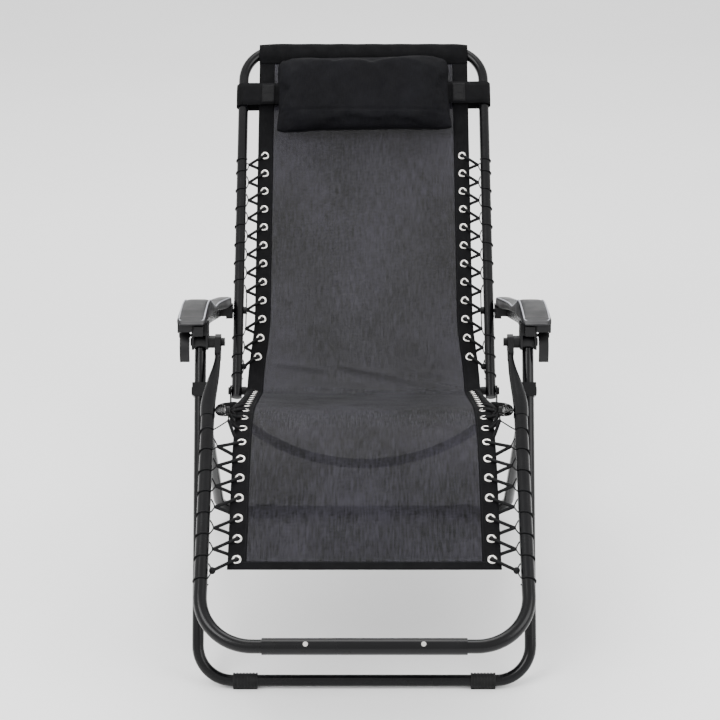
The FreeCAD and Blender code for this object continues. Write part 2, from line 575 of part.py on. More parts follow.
def lacing(line, start, count, half, tube_half, tube_radius):
    """Grommets of both sides and the V of cord at each of them."""
    rings, cords = [], []
    for index in range(count):
        point, run = along(line, start + index * size("GrommetPitch"))
        for _, sign in sides():
            rings.append(grommet(sign * (half - size("GrommetInset")), point, run))
            reach = tube_half - tube_radius - size("CordThick") / 2
            slant = math.atan2(lace_far - lace_near, reach - half)
            edge_x = half + size("CordThick") / 2 * math.sin(slant) + size("SoftGap") / 2
            for step in (-1, 1):
                edge = point + run * (step * lace_near)
                far = point + run * (step * lace_far)
                cords.append(lace(sign * edge_x, edge, sign * reach, far))
    return rings, cords


rings, cords = lacing(back_line, size("BackGrommetStart") - back_start, int(size("BackGrommets")),
                      size("BackSlingHalf"), size("BackHalf"), leg_r)
feature("grommets_back", Part.makeCompound(rings))
feature("lacing_back", Part.makeCompound(cords))
rings, cords = lacing(seat_line, 16.0, int(size("SeatGrommets")),
                      size("SeatSlingHalf"), size("BackHalf"), leg_r)
feature("grommets_seat", Part.makeCompound(rings))
feature("lacing_seat", Part.makeCompound(cords))

# ---- headrest ---------------------------------------------------------------------------------------------
head_turn = Rotation(Vector(1, 0, 0), -size("BackLean"))
head = hip + up_back * (size("BackLength") - size("PillowDown"))
ring_gap = 0.5
loop_depth = 2 * (leg_r + ring_gap)
loop_wide = 2 * (size("BackHalf") + leg_r + ring_gap)
strap = size("StrapThick")
outer = Part.makeBox(loop_wide + 2 * strap, loop_depth + 2 * strap, size("StrapHeight"))
outer.translate(Vector(-loop_wide / 2 - strap, -loop_depth / 2 - strap, -size("StrapHeight") / 2))
inner = Part.makeBox(loop_wide, loop_depth, size("StrapHeight"))
inner.translate(Vector(-loop_wide / 2, -loop_depth / 2, -size("StrapHeight") / 2))
band = outer.cut(inner)
band.Placement = Placement(head, head_turn)
feature("headrest_straps", band)
offset = Vector(-size("PillowWidth") / 2, -loop_depth / 2 - strap - size("PillowDepth"), -size("PillowHeight") / 2)
pillow = primitive("Part::Box", "PillowBlock", Placement(head + head_turn.multVec(offset), head_turn),
                   Length="Sizes.PillowWidth", Width="Sizes.PillowDepth", Height="Sizes.PillowHeight")
doc.recompute()
fillet = doc.addObject("Part::Fillet", "PillowFillet")
fillet.Base = pillow
fillet.Edges = [(index + 1, 18.0, 18.0) for index in range(12)]
keep(fillet, "headrest_pillow")

# ---- check and write --------------------------------------------------------------------------------------
doc.recompute()
for obj in doc.Objects:
    if "Invalid" in obj.State or "Error" in obj.State:
        raise RuntimeError(f"{obj.Label} failed: {obj.State}")
for obj in nodes:
    if obj.Shape.isNull() or not obj.Shape.isValid() or not obj.Shape.Solids:
        raise RuntimeError(f"{obj.Label} has no valid shape")

os.makedirs("parts", exist_ok=True)
for obj in nodes:
    obj.Shape.exportStep(f"parts/{obj.Label}.step")
print(len(nodes), "nodes written")
print("axis", AXIS_Y, AXIS_Z, "hip", place(*HIP), "arm pivot", place(*ARM_PIVOT), "rear", place(*REAR_PIVOT))
print("slope", math.degrees(arm_slope), "arm", arm_length, "rear turn", rear_turn, "leg lean", math.degrees(leg_lean))
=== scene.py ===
"""Zero gravity recliner: finishes, sling, lacing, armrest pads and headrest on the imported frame."""

import json
import logging
import math
from collections.abc import Callable, Sequence
from dataclasses import dataclass
from enum import Enum

import bmesh
import bpy
from mathutils import Euler, Matrix, Vector


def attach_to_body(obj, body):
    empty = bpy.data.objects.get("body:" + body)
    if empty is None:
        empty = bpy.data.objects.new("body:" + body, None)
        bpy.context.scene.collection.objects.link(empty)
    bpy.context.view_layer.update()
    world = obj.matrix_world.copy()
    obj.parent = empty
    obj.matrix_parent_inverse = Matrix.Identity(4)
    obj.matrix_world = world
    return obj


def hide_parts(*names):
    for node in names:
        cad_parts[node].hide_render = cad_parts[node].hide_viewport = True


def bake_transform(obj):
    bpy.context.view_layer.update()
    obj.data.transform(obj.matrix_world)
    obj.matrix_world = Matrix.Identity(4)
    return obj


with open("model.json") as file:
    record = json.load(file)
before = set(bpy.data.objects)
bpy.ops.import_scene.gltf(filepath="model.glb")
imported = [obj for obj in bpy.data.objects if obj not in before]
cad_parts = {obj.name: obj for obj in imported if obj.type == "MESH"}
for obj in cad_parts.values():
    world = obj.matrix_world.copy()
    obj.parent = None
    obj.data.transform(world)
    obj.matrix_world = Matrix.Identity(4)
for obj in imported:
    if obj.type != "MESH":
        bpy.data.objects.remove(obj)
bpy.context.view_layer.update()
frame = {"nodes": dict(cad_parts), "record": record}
LOG = logging.getLogger("recliner")

MM = 0.001
SIDES = (("left", -1), ("right", 1))
WELD = 1e-6
KNOT_SHARE = 1.9
KNOT_SCALE = (1, 0.85, 1.15)


# ---- small tools ------------------------------------------------------------------------------------------
def linear(hex_colour: str) -> tuple[float, float, float, float]:
    """Turns an sRGB hex colour to linear RGBA.

    Args:
        hex_colour: six hex digits, such as "2b2b30".

    Returns:
        Linear red, green, blue and an alpha of 1.
    """
    parts = [int(hex_colour[i:i + 2], 16) / 255 for i in (0, 2, 4)]
    return (*[p / 12.92 if p <= 0.04045 else ((p + 0.055) / 1.055) ** 2.4 for p in parts], 1.0)


def add_node(tree: bpy.types.NodeTree, kind: str, values: dict | None = None, links: dict | None = None,
             **settings: object) -> bpy.types.Node:
    """Adds one node with its settings, socket values and incoming links.

    Args:
        tree: the tree that gets the node.
        kind: the node's type name.
        values: default values by input name or number.
        links: source sockets by input name or number.
        settings: attributes of the node itself.

    Returns:
        The new node.
    """
    made = tree.nodes.new(kind)
    for key, value in settings.items():
        setattr(made, key, value)
    for key, value in (values or {}).items():
        made.inputs[key].default_value = value
    for key, source in (links or {}).items():
        tree.links.new(source, made.inputs[key])
    return made


def linked(name: str, data: bpy.types.ID) -> bpy.types.Object:
    """Makes an object at the origin and links it to the scene.

    Args:
        name: the object's name.
        data: its mesh, curve, light or camera.

    Returns:
        The linked object.
    """
    made = bpy.data.objects.new(name, data)
    bpy.context.scene.collection.objects.link(made)
    return made


def piece(name: str, mesh: bpy.types.Mesh, material: bpy.types.Material) -> bpy.types.Object:
    """Makes a smooth-shaded piece from a finished mesh.

    Args:
        name: the piece's name.
        mesh: its mesh, in place.
        material: its only material.

    Returns:
        The linked object.
    """
    mesh.name = name
    mesh.materials.clear()
    mesh.materials.append(material)
    mesh.polygons.foreach_set("use_smooth", [True] * len(mesh.polygons))
    return linked(name, mesh)


def attach(item: bpy.types.Object, body: str) -> bpy.types.Object:
    """Lets a piece ride on a body.

    Args:
        item: the piece.
        body: the body's name.

    Returns:
        The same piece.
    """
    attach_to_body(item, body)
    return item


def merged(name: str, meshes: list[bpy.types.Mesh]) -> bpy.types.Mesh:
    """Puts several meshes into one.

    Args:
        name: the new mesh's name.
        meshes: the meshes, in place.

    Returns:
        The new mesh.
    """
    work = bmesh.new()
    for mesh in meshes:
        work.from_mesh(mesh)
    made = bpy.data.meshes.new(name)
    work.to_mesh(made)
    work.free()
    return made


def outward(mesh: bpy.types.Mesh, weld: float = WELD) -> bpy.types.Mesh:
    """Merges a mesh's doubles and turns its faces outwards.

    Args:
        mesh: the mesh to mend.
        weld: merging distance in metres.

    Returns:
        The same mesh.
    """
    work = bmesh.new()
    work.from_mesh(mesh)
    bmesh.ops.remove_doubles(work, verts=work.verts, dist=weld)
    bmesh.ops.recalc_face_normals(work, faces=work.faces)
    if work.calc_volume(signed=True) < 0:
        bmesh.ops.reverse_faces(work, faces=work.faces)
    work.to_mesh(mesh)
    work.free()
    return mesh


def baked(source: bpy.types.Object, name: str) -> bpy.types.Mesh:
    """Evaluates an object's modifiers to a plain mesh and removes the source.

    Args:
        source: the object with live modifiers, or a curve.
        name: name of the plain mesh.

    Returns:
        The evaluated mesh.
    """
    graph = bpy.context.evaluated_depsgraph_get()
    mesh = bpy.data.meshes.new_from_object(source.evaluated_get(graph))
    mesh.name = name
    bpy.data.objects.remove(source, do_unlink=True)
    return mesh


def loft(rings: list[list[Vector]], caps: bool = True) -> bpy.types.Mesh:
    """Skins closed rings of points, one after another.

    Args:
        rings: rings with the same number of points.
        caps: whether the first and last ring are closed with a face.

    Returns:
        A closed mesh with outward faces.
    """
    count = len(rings[0])
    faces = [[r * count + i, r * count + (i + 1) % count,
              (r + 1) * count + (i + 1) % count, (r + 1) * count + i]
             for r in range(len(rings) - 1) for i in range(count)]
    if caps:
        faces.append(list(range(count)))
        faces.append([(len(rings) - 1) * count + i for i in reversed(range(count))])
    mesh = bpy.data.meshes.new("loft")
    mesh.from_pydata([p[:] for ring in rings for p in ring], [], faces)
    along, around = [0.0], [0.0]
    for a, b in zip(rings, rings[1:]):
        along.append(along[-1] + (b[0] - a[0]).length)
    for a, b in zip(rings[0], rings[0][1:]):
        around.append(around[-1] + (b - a).length)
    layer = mesh.uv_layers.new(name="UVMap")
    for loop in mesh.loops:
        layer.data[loop.index].uv = (around[loop.vertex_index % count], along[loop.vertex_index // count])
    return outward(mesh)


def cords(name: str, runs: list[list[Vector]], radius: float, material: bpy.types.Material,
          knots: Sequence[Vector] = ()) -> bpy.types.Object:
    """Sweeps a round cord along smooth runs, with ball knots.

    Args:
        name: the piece's name.
        runs: the points that each run follows.
        radius: the cord's radius in metres.
        material: its material.
        knots: centres of the knots.

    Returns:
        One mesh piece with a length-wise UV map.
    """
    data = bpy.data.curves.new(name, "CURVE")
    data.dimensions = "3D"
    data.bevel_depth = radius
    data.bevel_resolution = 2
    data.resolution_u = 4
    data.use_fill_caps = True
    for run in runs:
        spline = data.splines.new("NURBS")
        spline.points.add(len(run) - 1)
        for point, target in zip(spline.points, run):
            point.co = (*target, 1)
        spline.order_u = 3
        spline.use_endpoint_u = True
    mesh = baked(linked(name, data), name)
    work = bmesh.new()
    work.from_mesh(mesh)
    for knot in knots:
        ball = bmesh.ops.create_icosphere(work, subdivisions=2, radius=radius * KNOT_SHARE)
        bmesh.ops.scale(work, vec=KNOT_SCALE, verts=ball["verts"])
        bmesh.ops.translate(work, vec=knot, verts=ball["verts"])
    bmesh.ops.remove_doubles(work, verts=work.verts, dist=WELD)
    bmesh.ops.recalc_face_normals(work, faces=work.faces)
    work.to_mesh(mesh)
    work.free()
    return piece(name, mesh, material)


# ---- finishes ---------------------------------------------------------------------------------------------
# The wave texture at scale 1 repeats every 2 pi / 20 of its coordinate.
WAVE_UNIT = 2 * math.pi / 20


@dataclass(frozen=True)
class Finish:
    """A finish with a mottled colour, a grain and a varying gloss."""

    name: str
    dark: str
    light: str
    rough_low: float
    rough_high: float
    grain_mm: float
    grain_depth: float
    blotch_mm: float = 60.0
    metallic: float = 0.0
    ior: float = 1.5
    specular: float = 0.5
    alpha: float = 1.0

    def place(self, tree: bpy.types.NodeTree) -> bpy.types.NodeSocket:
        """Object coordinates, in metres."""
        return add_node(tree, "ShaderNodeTexCoord").outputs["Object"]

    def colour(self, tree: bpy.types.NodeTree, where: bpy.types.NodeSocket) -> bpy.types.NodeSocket:
        """Mottles the two colours of the finish.

        Args:
            tree: the material's tree.
            where: the pattern's coordinates.

        Returns:
            The colour socket.
        """
        blotch = add_node(tree, "ShaderNodeTexNoise", {"Scale": 1000 / self.blotch_mm, "Detail": 4.0},
                          {"Vector": where})
        return self.shades(tree, blotch.outputs["Fac"], 0.3, 0.72)

    def shades(self, tree: bpy.types.NodeTree, share: bpy.types.NodeSocket, low: float,
               high: float) -> bpy.types.NodeSocket:
        """Turns a pattern's value to a colour between the finish's two.

        Args:
            tree: the material's tree.
            share: the pattern's value.
            low: value that gives the dark colour.
            high: value that gives the light colour.

        Returns:
            The colour socket.
        """
        ramp = add_node(tree, "ShaderNodeValToRGB", links={"Fac": share})
        for stop, place, colour in zip(ramp.color_ramp.elements, (low, high), (self.dark, self.light)):
            stop.position = place
            stop.color = linear(colour)
        return ramp.outputs["Color"]

    def height(self, tree: bpy.types.NodeTree, where: bpy.types.NodeSocket) -> bpy.types.NodeSocket:
        """The grain's height."""
        return add_node(tree, "ShaderNodeTexNoise", {"Scale": 1000 / self.grain_mm, "Detail": 2.0},
                        {"Vector": where}).outputs["Fac"]

    def material(self) -> bpy.types.Material:
        """Builds the node material.

        Returns:
            The finished material.
        """
        made = bpy.data.materials.new(self.name)
        made.use_nodes = True
        tree = made.node_tree
        tree.nodes.clear()
        where = self.place(tree)
        gloss = add_node(tree, "ShaderNodeTexNoise", {"Scale": 1000 / (self.blotch_mm * 0.4), "Detail": 3.0},
                         {"Vector": where})
        rough = add_node(tree, "ShaderNodeMapRange",
                         {"From Min": 0.3, "From Max": 0.7,
                          "To Min": self.rough_low, "To Max": self.rough_high},
                         {"Value": gloss.outputs["Fac"]})
        bump = add_node(tree, "ShaderNodeBump", {"Strength": 0.6, "Distance": self.grain_depth * MM},
                        {"Height": self.height(tree, where)})
        shader = add_node(tree, "ShaderNodeBsdfPrincipled",
                          {"Metallic": self.metallic, "IOR": self.ior, "Alpha": self.alpha,
                           "Specular IOR Level": self.specular},
                          {"Base Color": self.colour(tree, where), "Roughness": rough.outputs["Result"],
                           "Normal": bump.outputs["Normal"]})
        add_node(tree, "ShaderNodeOutputMaterial", links={"Surface": shader.outputs["BSDF"]})
        return made


@dataclass(frozen=True)
class Woven(Finish):
    """Cloth on its UV map in metres: crossing threads, streaks along the warp and lighter zones."""

    thread_mm: float = 2.0
    streak_mm: float = 2.6
    streak_long_mm: float = 70.0

    def place(self, tree: bpy.types.NodeTree) -> bpy.types.NodeSocket:
        """The piece's own UV map, in metres."""
        return add_node(tree, "ShaderNodeTexCoord").outputs["UV"]

    def colour(self, tree: bpy.types.NodeTree, where: bpy.types.NodeSocket) -> bpy.types.NodeSocket:
        """Warp streaks, weft streaks and broad zones between the two colours.

        Args:
            tree: the material's tree.
            where: the UV coordinates.

        Returns:
            The colour socket.
        """
        total = None
        for across, along, share in ((self.streak_mm, self.streak_long_mm, 0.44),
                                     (self.streak_long_mm * 0.5, self.streak_mm, 0.22),
                                     (self.blotch_mm, self.blotch_mm * 1.8, 0.34)):
            spread = add_node(tree, "ShaderNodeMapping", {"Scale": (1000 / across, 1000 / along, 1.0)},
                              {"Vector": where})
            noise = add_node(tree, "ShaderNodeTexNoise", {"Scale": 1.0, "Detail": 1.5},
                             {"Vector": spread.outputs["Vector"]})
            part = add_node(tree, "ShaderNodeMath", {1: share}, {0: noise.outputs["Fac"]},
                            operation="MULTIPLY")
            total = part.outputs[0] if total is None else add_node(
                tree, "ShaderNodeMath", links={0: total, 1: part.outputs[0]}, operation="ADD").outputs[0]
        return self.shades(tree, total, 0.41, 0.6)

    def height(self, tree: bpy.types.NodeTree, where: bpy.types.NodeSocket) -> bpy.types.NodeSocket:
        """Draws a plain weave: the product of waves across and along.

        Args:
            tree: the material's tree.
            where: the UV coordinates.

        Returns:
            The height socket.
        """
        waves = [add_node(tree, "ShaderNodeTexWave", {"Scale": WAVE_UNIT * 1000 / self.thread_mm},
                          {"Vector": where}, bands_direction=way).outputs["Fac"] for way in ("X", "Y")]
        return add_node(tree, "ShaderNodeMath", links={0: waves[0], 1: waves[1]},
                        operation="MULTIPLY").outputs[0]


class Look(Enum):
    """The recliner's finishes, each built once."""

    # Gloss black polyester powder on steel tube: deep, with faint orange peel and soft wide highlights.
    TUBE = Finish("powder_coated_steel", "040405", "08080a", 0.2, 0.3, 3.0, 0.05, 90.0, specular=0.2)
    # Injection moulded polypropylene: matt black with a fine spark-eroded grain.
    MOULDED = Finish("moulded_polypropylene", "060607", "0c0c0e", 0.36, 0.5, 1.1, 0.12, 45.0, specular=0.26)
    # Moulded pad of the armrest: the same plastic, a little greyer where arms rub it.
    PAD = Finish("moulded_armrest_polypropylene", "08080a", "101013", 0.34, 0.46, 1.4, 0.14, 80.0,
                 specular=0.3)
    # Soft grey elastomer bead moulded into the pad's edges: satin and pale.
    TRIM = Finish("moulded_grey_elastomer", "8f9096", "a9aab0", 0.4, 0.5, 1.5, 0.05, 50.0)
    # Natural rubber blend, compression moulded: dull with a bloom.
    RUBBER = Finish("moulded_rubber", "060607", "0d0d0e", 0.62, 0.78, 1.6, 0.1, 30.0, specular=0.25)
    # Textilene: vinyl coated polyester, plain weave. Its holes are too fine to draw, so it is slightly
    # clear, and its threads of about 1 mm are drawn 2.6 mm apart, or they wouldn't show.
    MESH = Woven("textilene_weave", "020203", "25242b", 0.58, 0.7, 1.6, 0.3, 170.0, specular=0.12,
                 alpha=0.87, thread_mm=2.6, streak_mm=2.7, streak_long_mm=34.0)
    # Polyester webbing folded over the mesh's edge: denser and darker. Its rib is drawn at twice its size.
    HEM = Woven("polyester_webbing", "020203", "060608", 0.72, 0.84, 1.2, 0.3, 60.0, specular=0.1,
                thread_mm=1.8, streak_mm=3.0, streak_long_mm=18.0)
    # Oxford weave polyester of the pillow: soft, dark, with a slight sheen on the crown.
    PILLOW = Woven("oxford_polyester", "020204", "08080c", 0.72, 0.84, 1.2, 0.25, 70.0, specular=0.1,
                   thread_mm=1.6, streak_mm=2.4, streak_long_mm=14.0)
    # Braided elastic: black polyester sheath on rubber strands.
    ELASTIC = Finish("braided_elastic", "040405", "08080a", 0.6, 0.75, 1.8, 0.4, 12.0, specular=0.16)
    # Polyester sewing thread: one shade above the webbing.
    THREAD = Finish("polyester_thread", "101013", "1a1a1f", 0.55, 0.7, 0.8, 0.1, 10.0, specular=0.2)
    # Nickel plated brass, barrel polished: bright with hazy wear.
    NICKEL = Finish("nickel_plated_brass", "c9c6c1", "e4e2de", 0.16, 0.3, 2.0, 0.03, 14.0, metallic=1.0)
    # Black oxide steel of bolts, nuts and pins: dark, semi-gloss, slightly brown.
    OXIDE = Finish("black_oxide_steel", "0b0b0c", "141415", 0.32, 0.45, 1.5, 0.05, 12.0, metallic=0.5,
                   specular=0.3)

    def __init__(self, finish: Finish) -> None:
        """Keeps the finish; its material is built on first use."""
        self.finish = finish
        self.built = None

    def get(self) -> bpy.types.Material:
        """Builds the finish's material on the first call.

        Returns:
            The finish's one material.
        """
        if self.built is None:
            self.built = self.finish.material()
        return self.built


# ---- side layout ------------------------------------------------------------------------------------------
def joint_place(name: str) -> Vector:
    """A joint's place at rest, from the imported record."""
    return Vector(next(j["pos_m"] for j in frame["record"]["behaviour"]["joints"] if j["name"] == name))


@dataclass(frozen=True)
class Layout:
    """The chair seen from its side: the tubes' directions and the places that pieces share."""

    axis: Vector = joint_place("recline")
    hip: Vector = joint_place("back_recline")
    back_lean: float = math.radians(44)
    rest_lean: float = math.radians(54)
    back_half: float = 0.270
    back_tube: float = 0.011
    back_long: float = 0.825
    arm_pivot_up: float = 0.185
    rest_half: float = 0.294
    rest_tube: float = 0.0125
    rail_front: float = 0.151
    rail_rear: tuple[float, float] = (0.348, -0.296)
    rail_share: float = 0.02

    @property
    def up_back(self) -> Vector:
        """Direction up the back tubes."""
        return Vector((0, math.sin(self.back_lean), math.cos(self.back_lean)))

    @property
    def out_back(self) -> Vector:
        """Direction out of the back's front face."""
        return Vector((0, -math.cos(self.back_lean), math.sin(self.back_lean)))

    @property
    def down_rest(self) -> Vector:
        """Direction down the leg-rest tubes."""
        return Vector((0, -math.sin(self.rest_lean), -math.cos(self.rest_lean)))

    def side(self, back: float, up: float) -> Vector:
        """A point on the middle plane, from its place behind and above the arm pivot axis."""
        return Vector((0, self.axis.y + back, self.axis.z + up))

    def tube(self, point: Vector, on_back: bool) -> tuple[Vector, float, float]:
        """Finds the tube that the lacing at a point goes round.

        Args:
            point: a point of the sling.
            on_back: whether it is on the back.

        Returns:
            The tube's nearest middle point at x = 0, its x and its radius.
        """
        if on_back:
            up = (point - self.hip).dot(self.up_back)
            return self.hip + self.up_back * up, self.back_half, self.back_tube
        front = self.axis + self.down_rest * self.rail_front
        run = self.side(*self.rail_rear) - front
        share = (Vector((0, point.y, point.z)) - front).dot(run) / run.length_squared
        if share > self.rail_share:
            return front + run * min(share, 1.0), self.back_half, self.back_tube
        down = (point - self.axis).dot(self.down_rest)
        return self.axis + self.down_rest * down, self.rest_half, self.rest_tube


LAYOUT = Layout()


def shell(rows: list[list[tuple[Vector, Vector, tuple[float, float]]]], thick: float) -> bpy.types.Mesh:
    """Gives a grid of points on a surface a thickness and closes its edges.

    Args:
        rows: for each row and column a point, its normal and its UV in metres.
        thick: the cloth's thickness in metres.

    Returns:
        A closed mesh with a UV map.
    """
    high, wide = len(rows), len(rows[0])
    verts, uvs = [], []
    for side in (0.5, -0.5):
        for row in rows:
            for point, normal, uv in row:
                verts.append((point + normal * thick * side)[:])
                uvs.append(uv)
    step = high * wide
    faces = []
    for r in range(high - 1):
        for c in range(wide - 1):
            a = r * wide + c
            faces.append((a, a + wide, a + wide + 1, a + 1))
            faces.append((a + step, a + step + 1, a + step + wide + 1, a + step + wide))
    rim = ([c for c in range(wide)] + [r * wide + wide - 1 for r in range(1, high)]
           + [(high - 1) * wide + c for c in range(wide - 2, -1, -1)]
           + [r * wide for r in range(high - 2, 0, -1)])
    for a, b in zip(rim, rim[1:] + rim[:1]):
        faces.append((a, b, b + step, a + step))
    mesh = bpy.data.meshes.new("shell")
    mesh.from_pydata(verts, [], faces)
    layer = mesh.uv_layers.new(name="UVMap")
    for loop in mesh.loops:
        layer.data[loop.index].uv = uvs[loop.vertex_index]
    return outward(mesh, 1e-7)


# ---- repeated hardware and stitches by Geometry Nodes ------------------------------------------------------
class Repeat(Enum):
    """What a scatter tree repeats."""

    EYELET = "rolled eyelet"
    STITCH = "thread stitch"


@dataclass
class Scatter:
    """Repeats one small shape at points that carry their own turn.

    A stitch has its length, width and height. An eyelet has its ring's radius, its roll's radius and the
    share to which it is flattened.
    """

    kind: Repeat
    long: float
    wide: float
    high: float

    def sizes(self) -> dict[str, float]:
        """The tree's named inputs and their values."""
        return {"Long": self.long, "Wide": self.wide, "High": self.high}

    def tree(self, material: bpy.types.Material) -> bpy.types.NodeTree:
        """Builds the Geometry Nodes tree.

        Args:
            material: the material of the repeated shape.

        Returns:
            The tree, with sizes as named inputs.
        """
        tree = bpy.data.node_groups.new(f"repeat_{self.kind.name.lower()}", "GeometryNodeTree")
        tree.interface.new_socket("Points", in_out="INPUT", socket_type="NodeSocketGeometry")
        for name in self.sizes():
            tree.interface.new_socket(name, in_out="INPUT", socket_type="NodeSocketFloat")
        tree.interface.new_socket("Shapes", in_out="OUTPUT", socket_type="NodeSocketGeometry")
        given = add_node(tree, "NodeGroupInput")
        if self.kind is Repeat.EYELET:
            ring = add_node(tree, "GeometryNodeCurvePrimitiveCircle", {"Resolution": 24},
                            {"Radius": given.outputs["Long"]})
            roll = add_node(tree, "GeometryNodeCurvePrimitiveCircle", {"Resolution": 10},
                            {"Radius": given.outputs["Wide"]})
            swept = add_node(tree, "GeometryNodeCurveToMesh",
                             links={"Curve": ring.outputs["Curve"], "Profile Curve": roll.outputs["Curve"]})
            shape = swept
            scale = add_node(tree, "ShaderNodeCombineXYZ", {"X": 1.0, "Y": 1.0}, {"Z": given.outputs["High"]})
        else:
            shape = add_node(tree, "GeometryNodeMeshIcoSphere", {"Radius": 0.5, "Subdivisions": 1})
            scale = add_node(tree, "ShaderNodeCombineXYZ",
                             links={"X": given.outputs["Long"], "Y": given.outputs["Wide"],
                                    "Z": given.outputs["High"]})
        item = add_node(tree, "GeometryNodeTransform",
                        links={"Geometry": shape.outputs["Mesh"], "Scale": scale.outputs["Vector"]})
        turn = add_node(tree, "GeometryNodeInputNamedAttribute", {"Name": "turn"}, data_type="FLOAT_VECTOR")
        spread = add_node(tree, "GeometryNodeInstanceOnPoints",
                          links={"Points": given.outputs["Points"], "Instance": item.outputs["Geometry"],
                                 "Rotation": turn.outputs["Attribute"]})
        solid = add_node(tree, "GeometryNodeRealizeInstances",
                         links={"Geometry": spread.outputs["Instances"]})
        dressed = add_node(tree, "GeometryNodeSetMaterial", {"Material": material},
                           {"Geometry": solid.outputs["Geometry"]})
        add_node(tree, "NodeGroupOutput", links={"Shapes": dressed.outputs["Geometry"]})
        return tree

    def make(self, name: str, places: list[tuple[Vector, Vector, Vector]],
             material: bpy.types.Material) -> bpy.types.Object:
        """Repeats the shape at each place.

        Args:
            name: the piece's name.
            places: point, length-wise direction and outward direction of each shape.
            material: its material.

        Returns:
            One plain mesh piece.
        """
        points = bpy.data.meshes.new(name)
        points.from_pydata([p[0][:] for p in places], [], [])
        turns = points.attributes.new("turn", "FLOAT_VECTOR", "POINT")
        for index, (_, along, out) in enumerate(places):
            first = (along - out * along.dot(out)).normalized()
            turns.data[index].vector = Matrix((first, out.cross(first), out)).transposed().to_euler()[:]
        source = linked(name, points)
        tree = self.tree(material)
        modifier = source.modifiers.new("repeat", "NODES")
        modifier.node_group = tree
        for socket in tree.interface.items_tree:
            if socket.in_out == "INPUT" and socket.name in self.sizes():
                modifier[socket.identifier] = self.sizes()[socket.name]
        mesh = baked(source, name)
        if "turn" in mesh.attributes:
            mesh.attributes.remove(mesh.attributes["turn"])
        return piece(name, mesh, material)


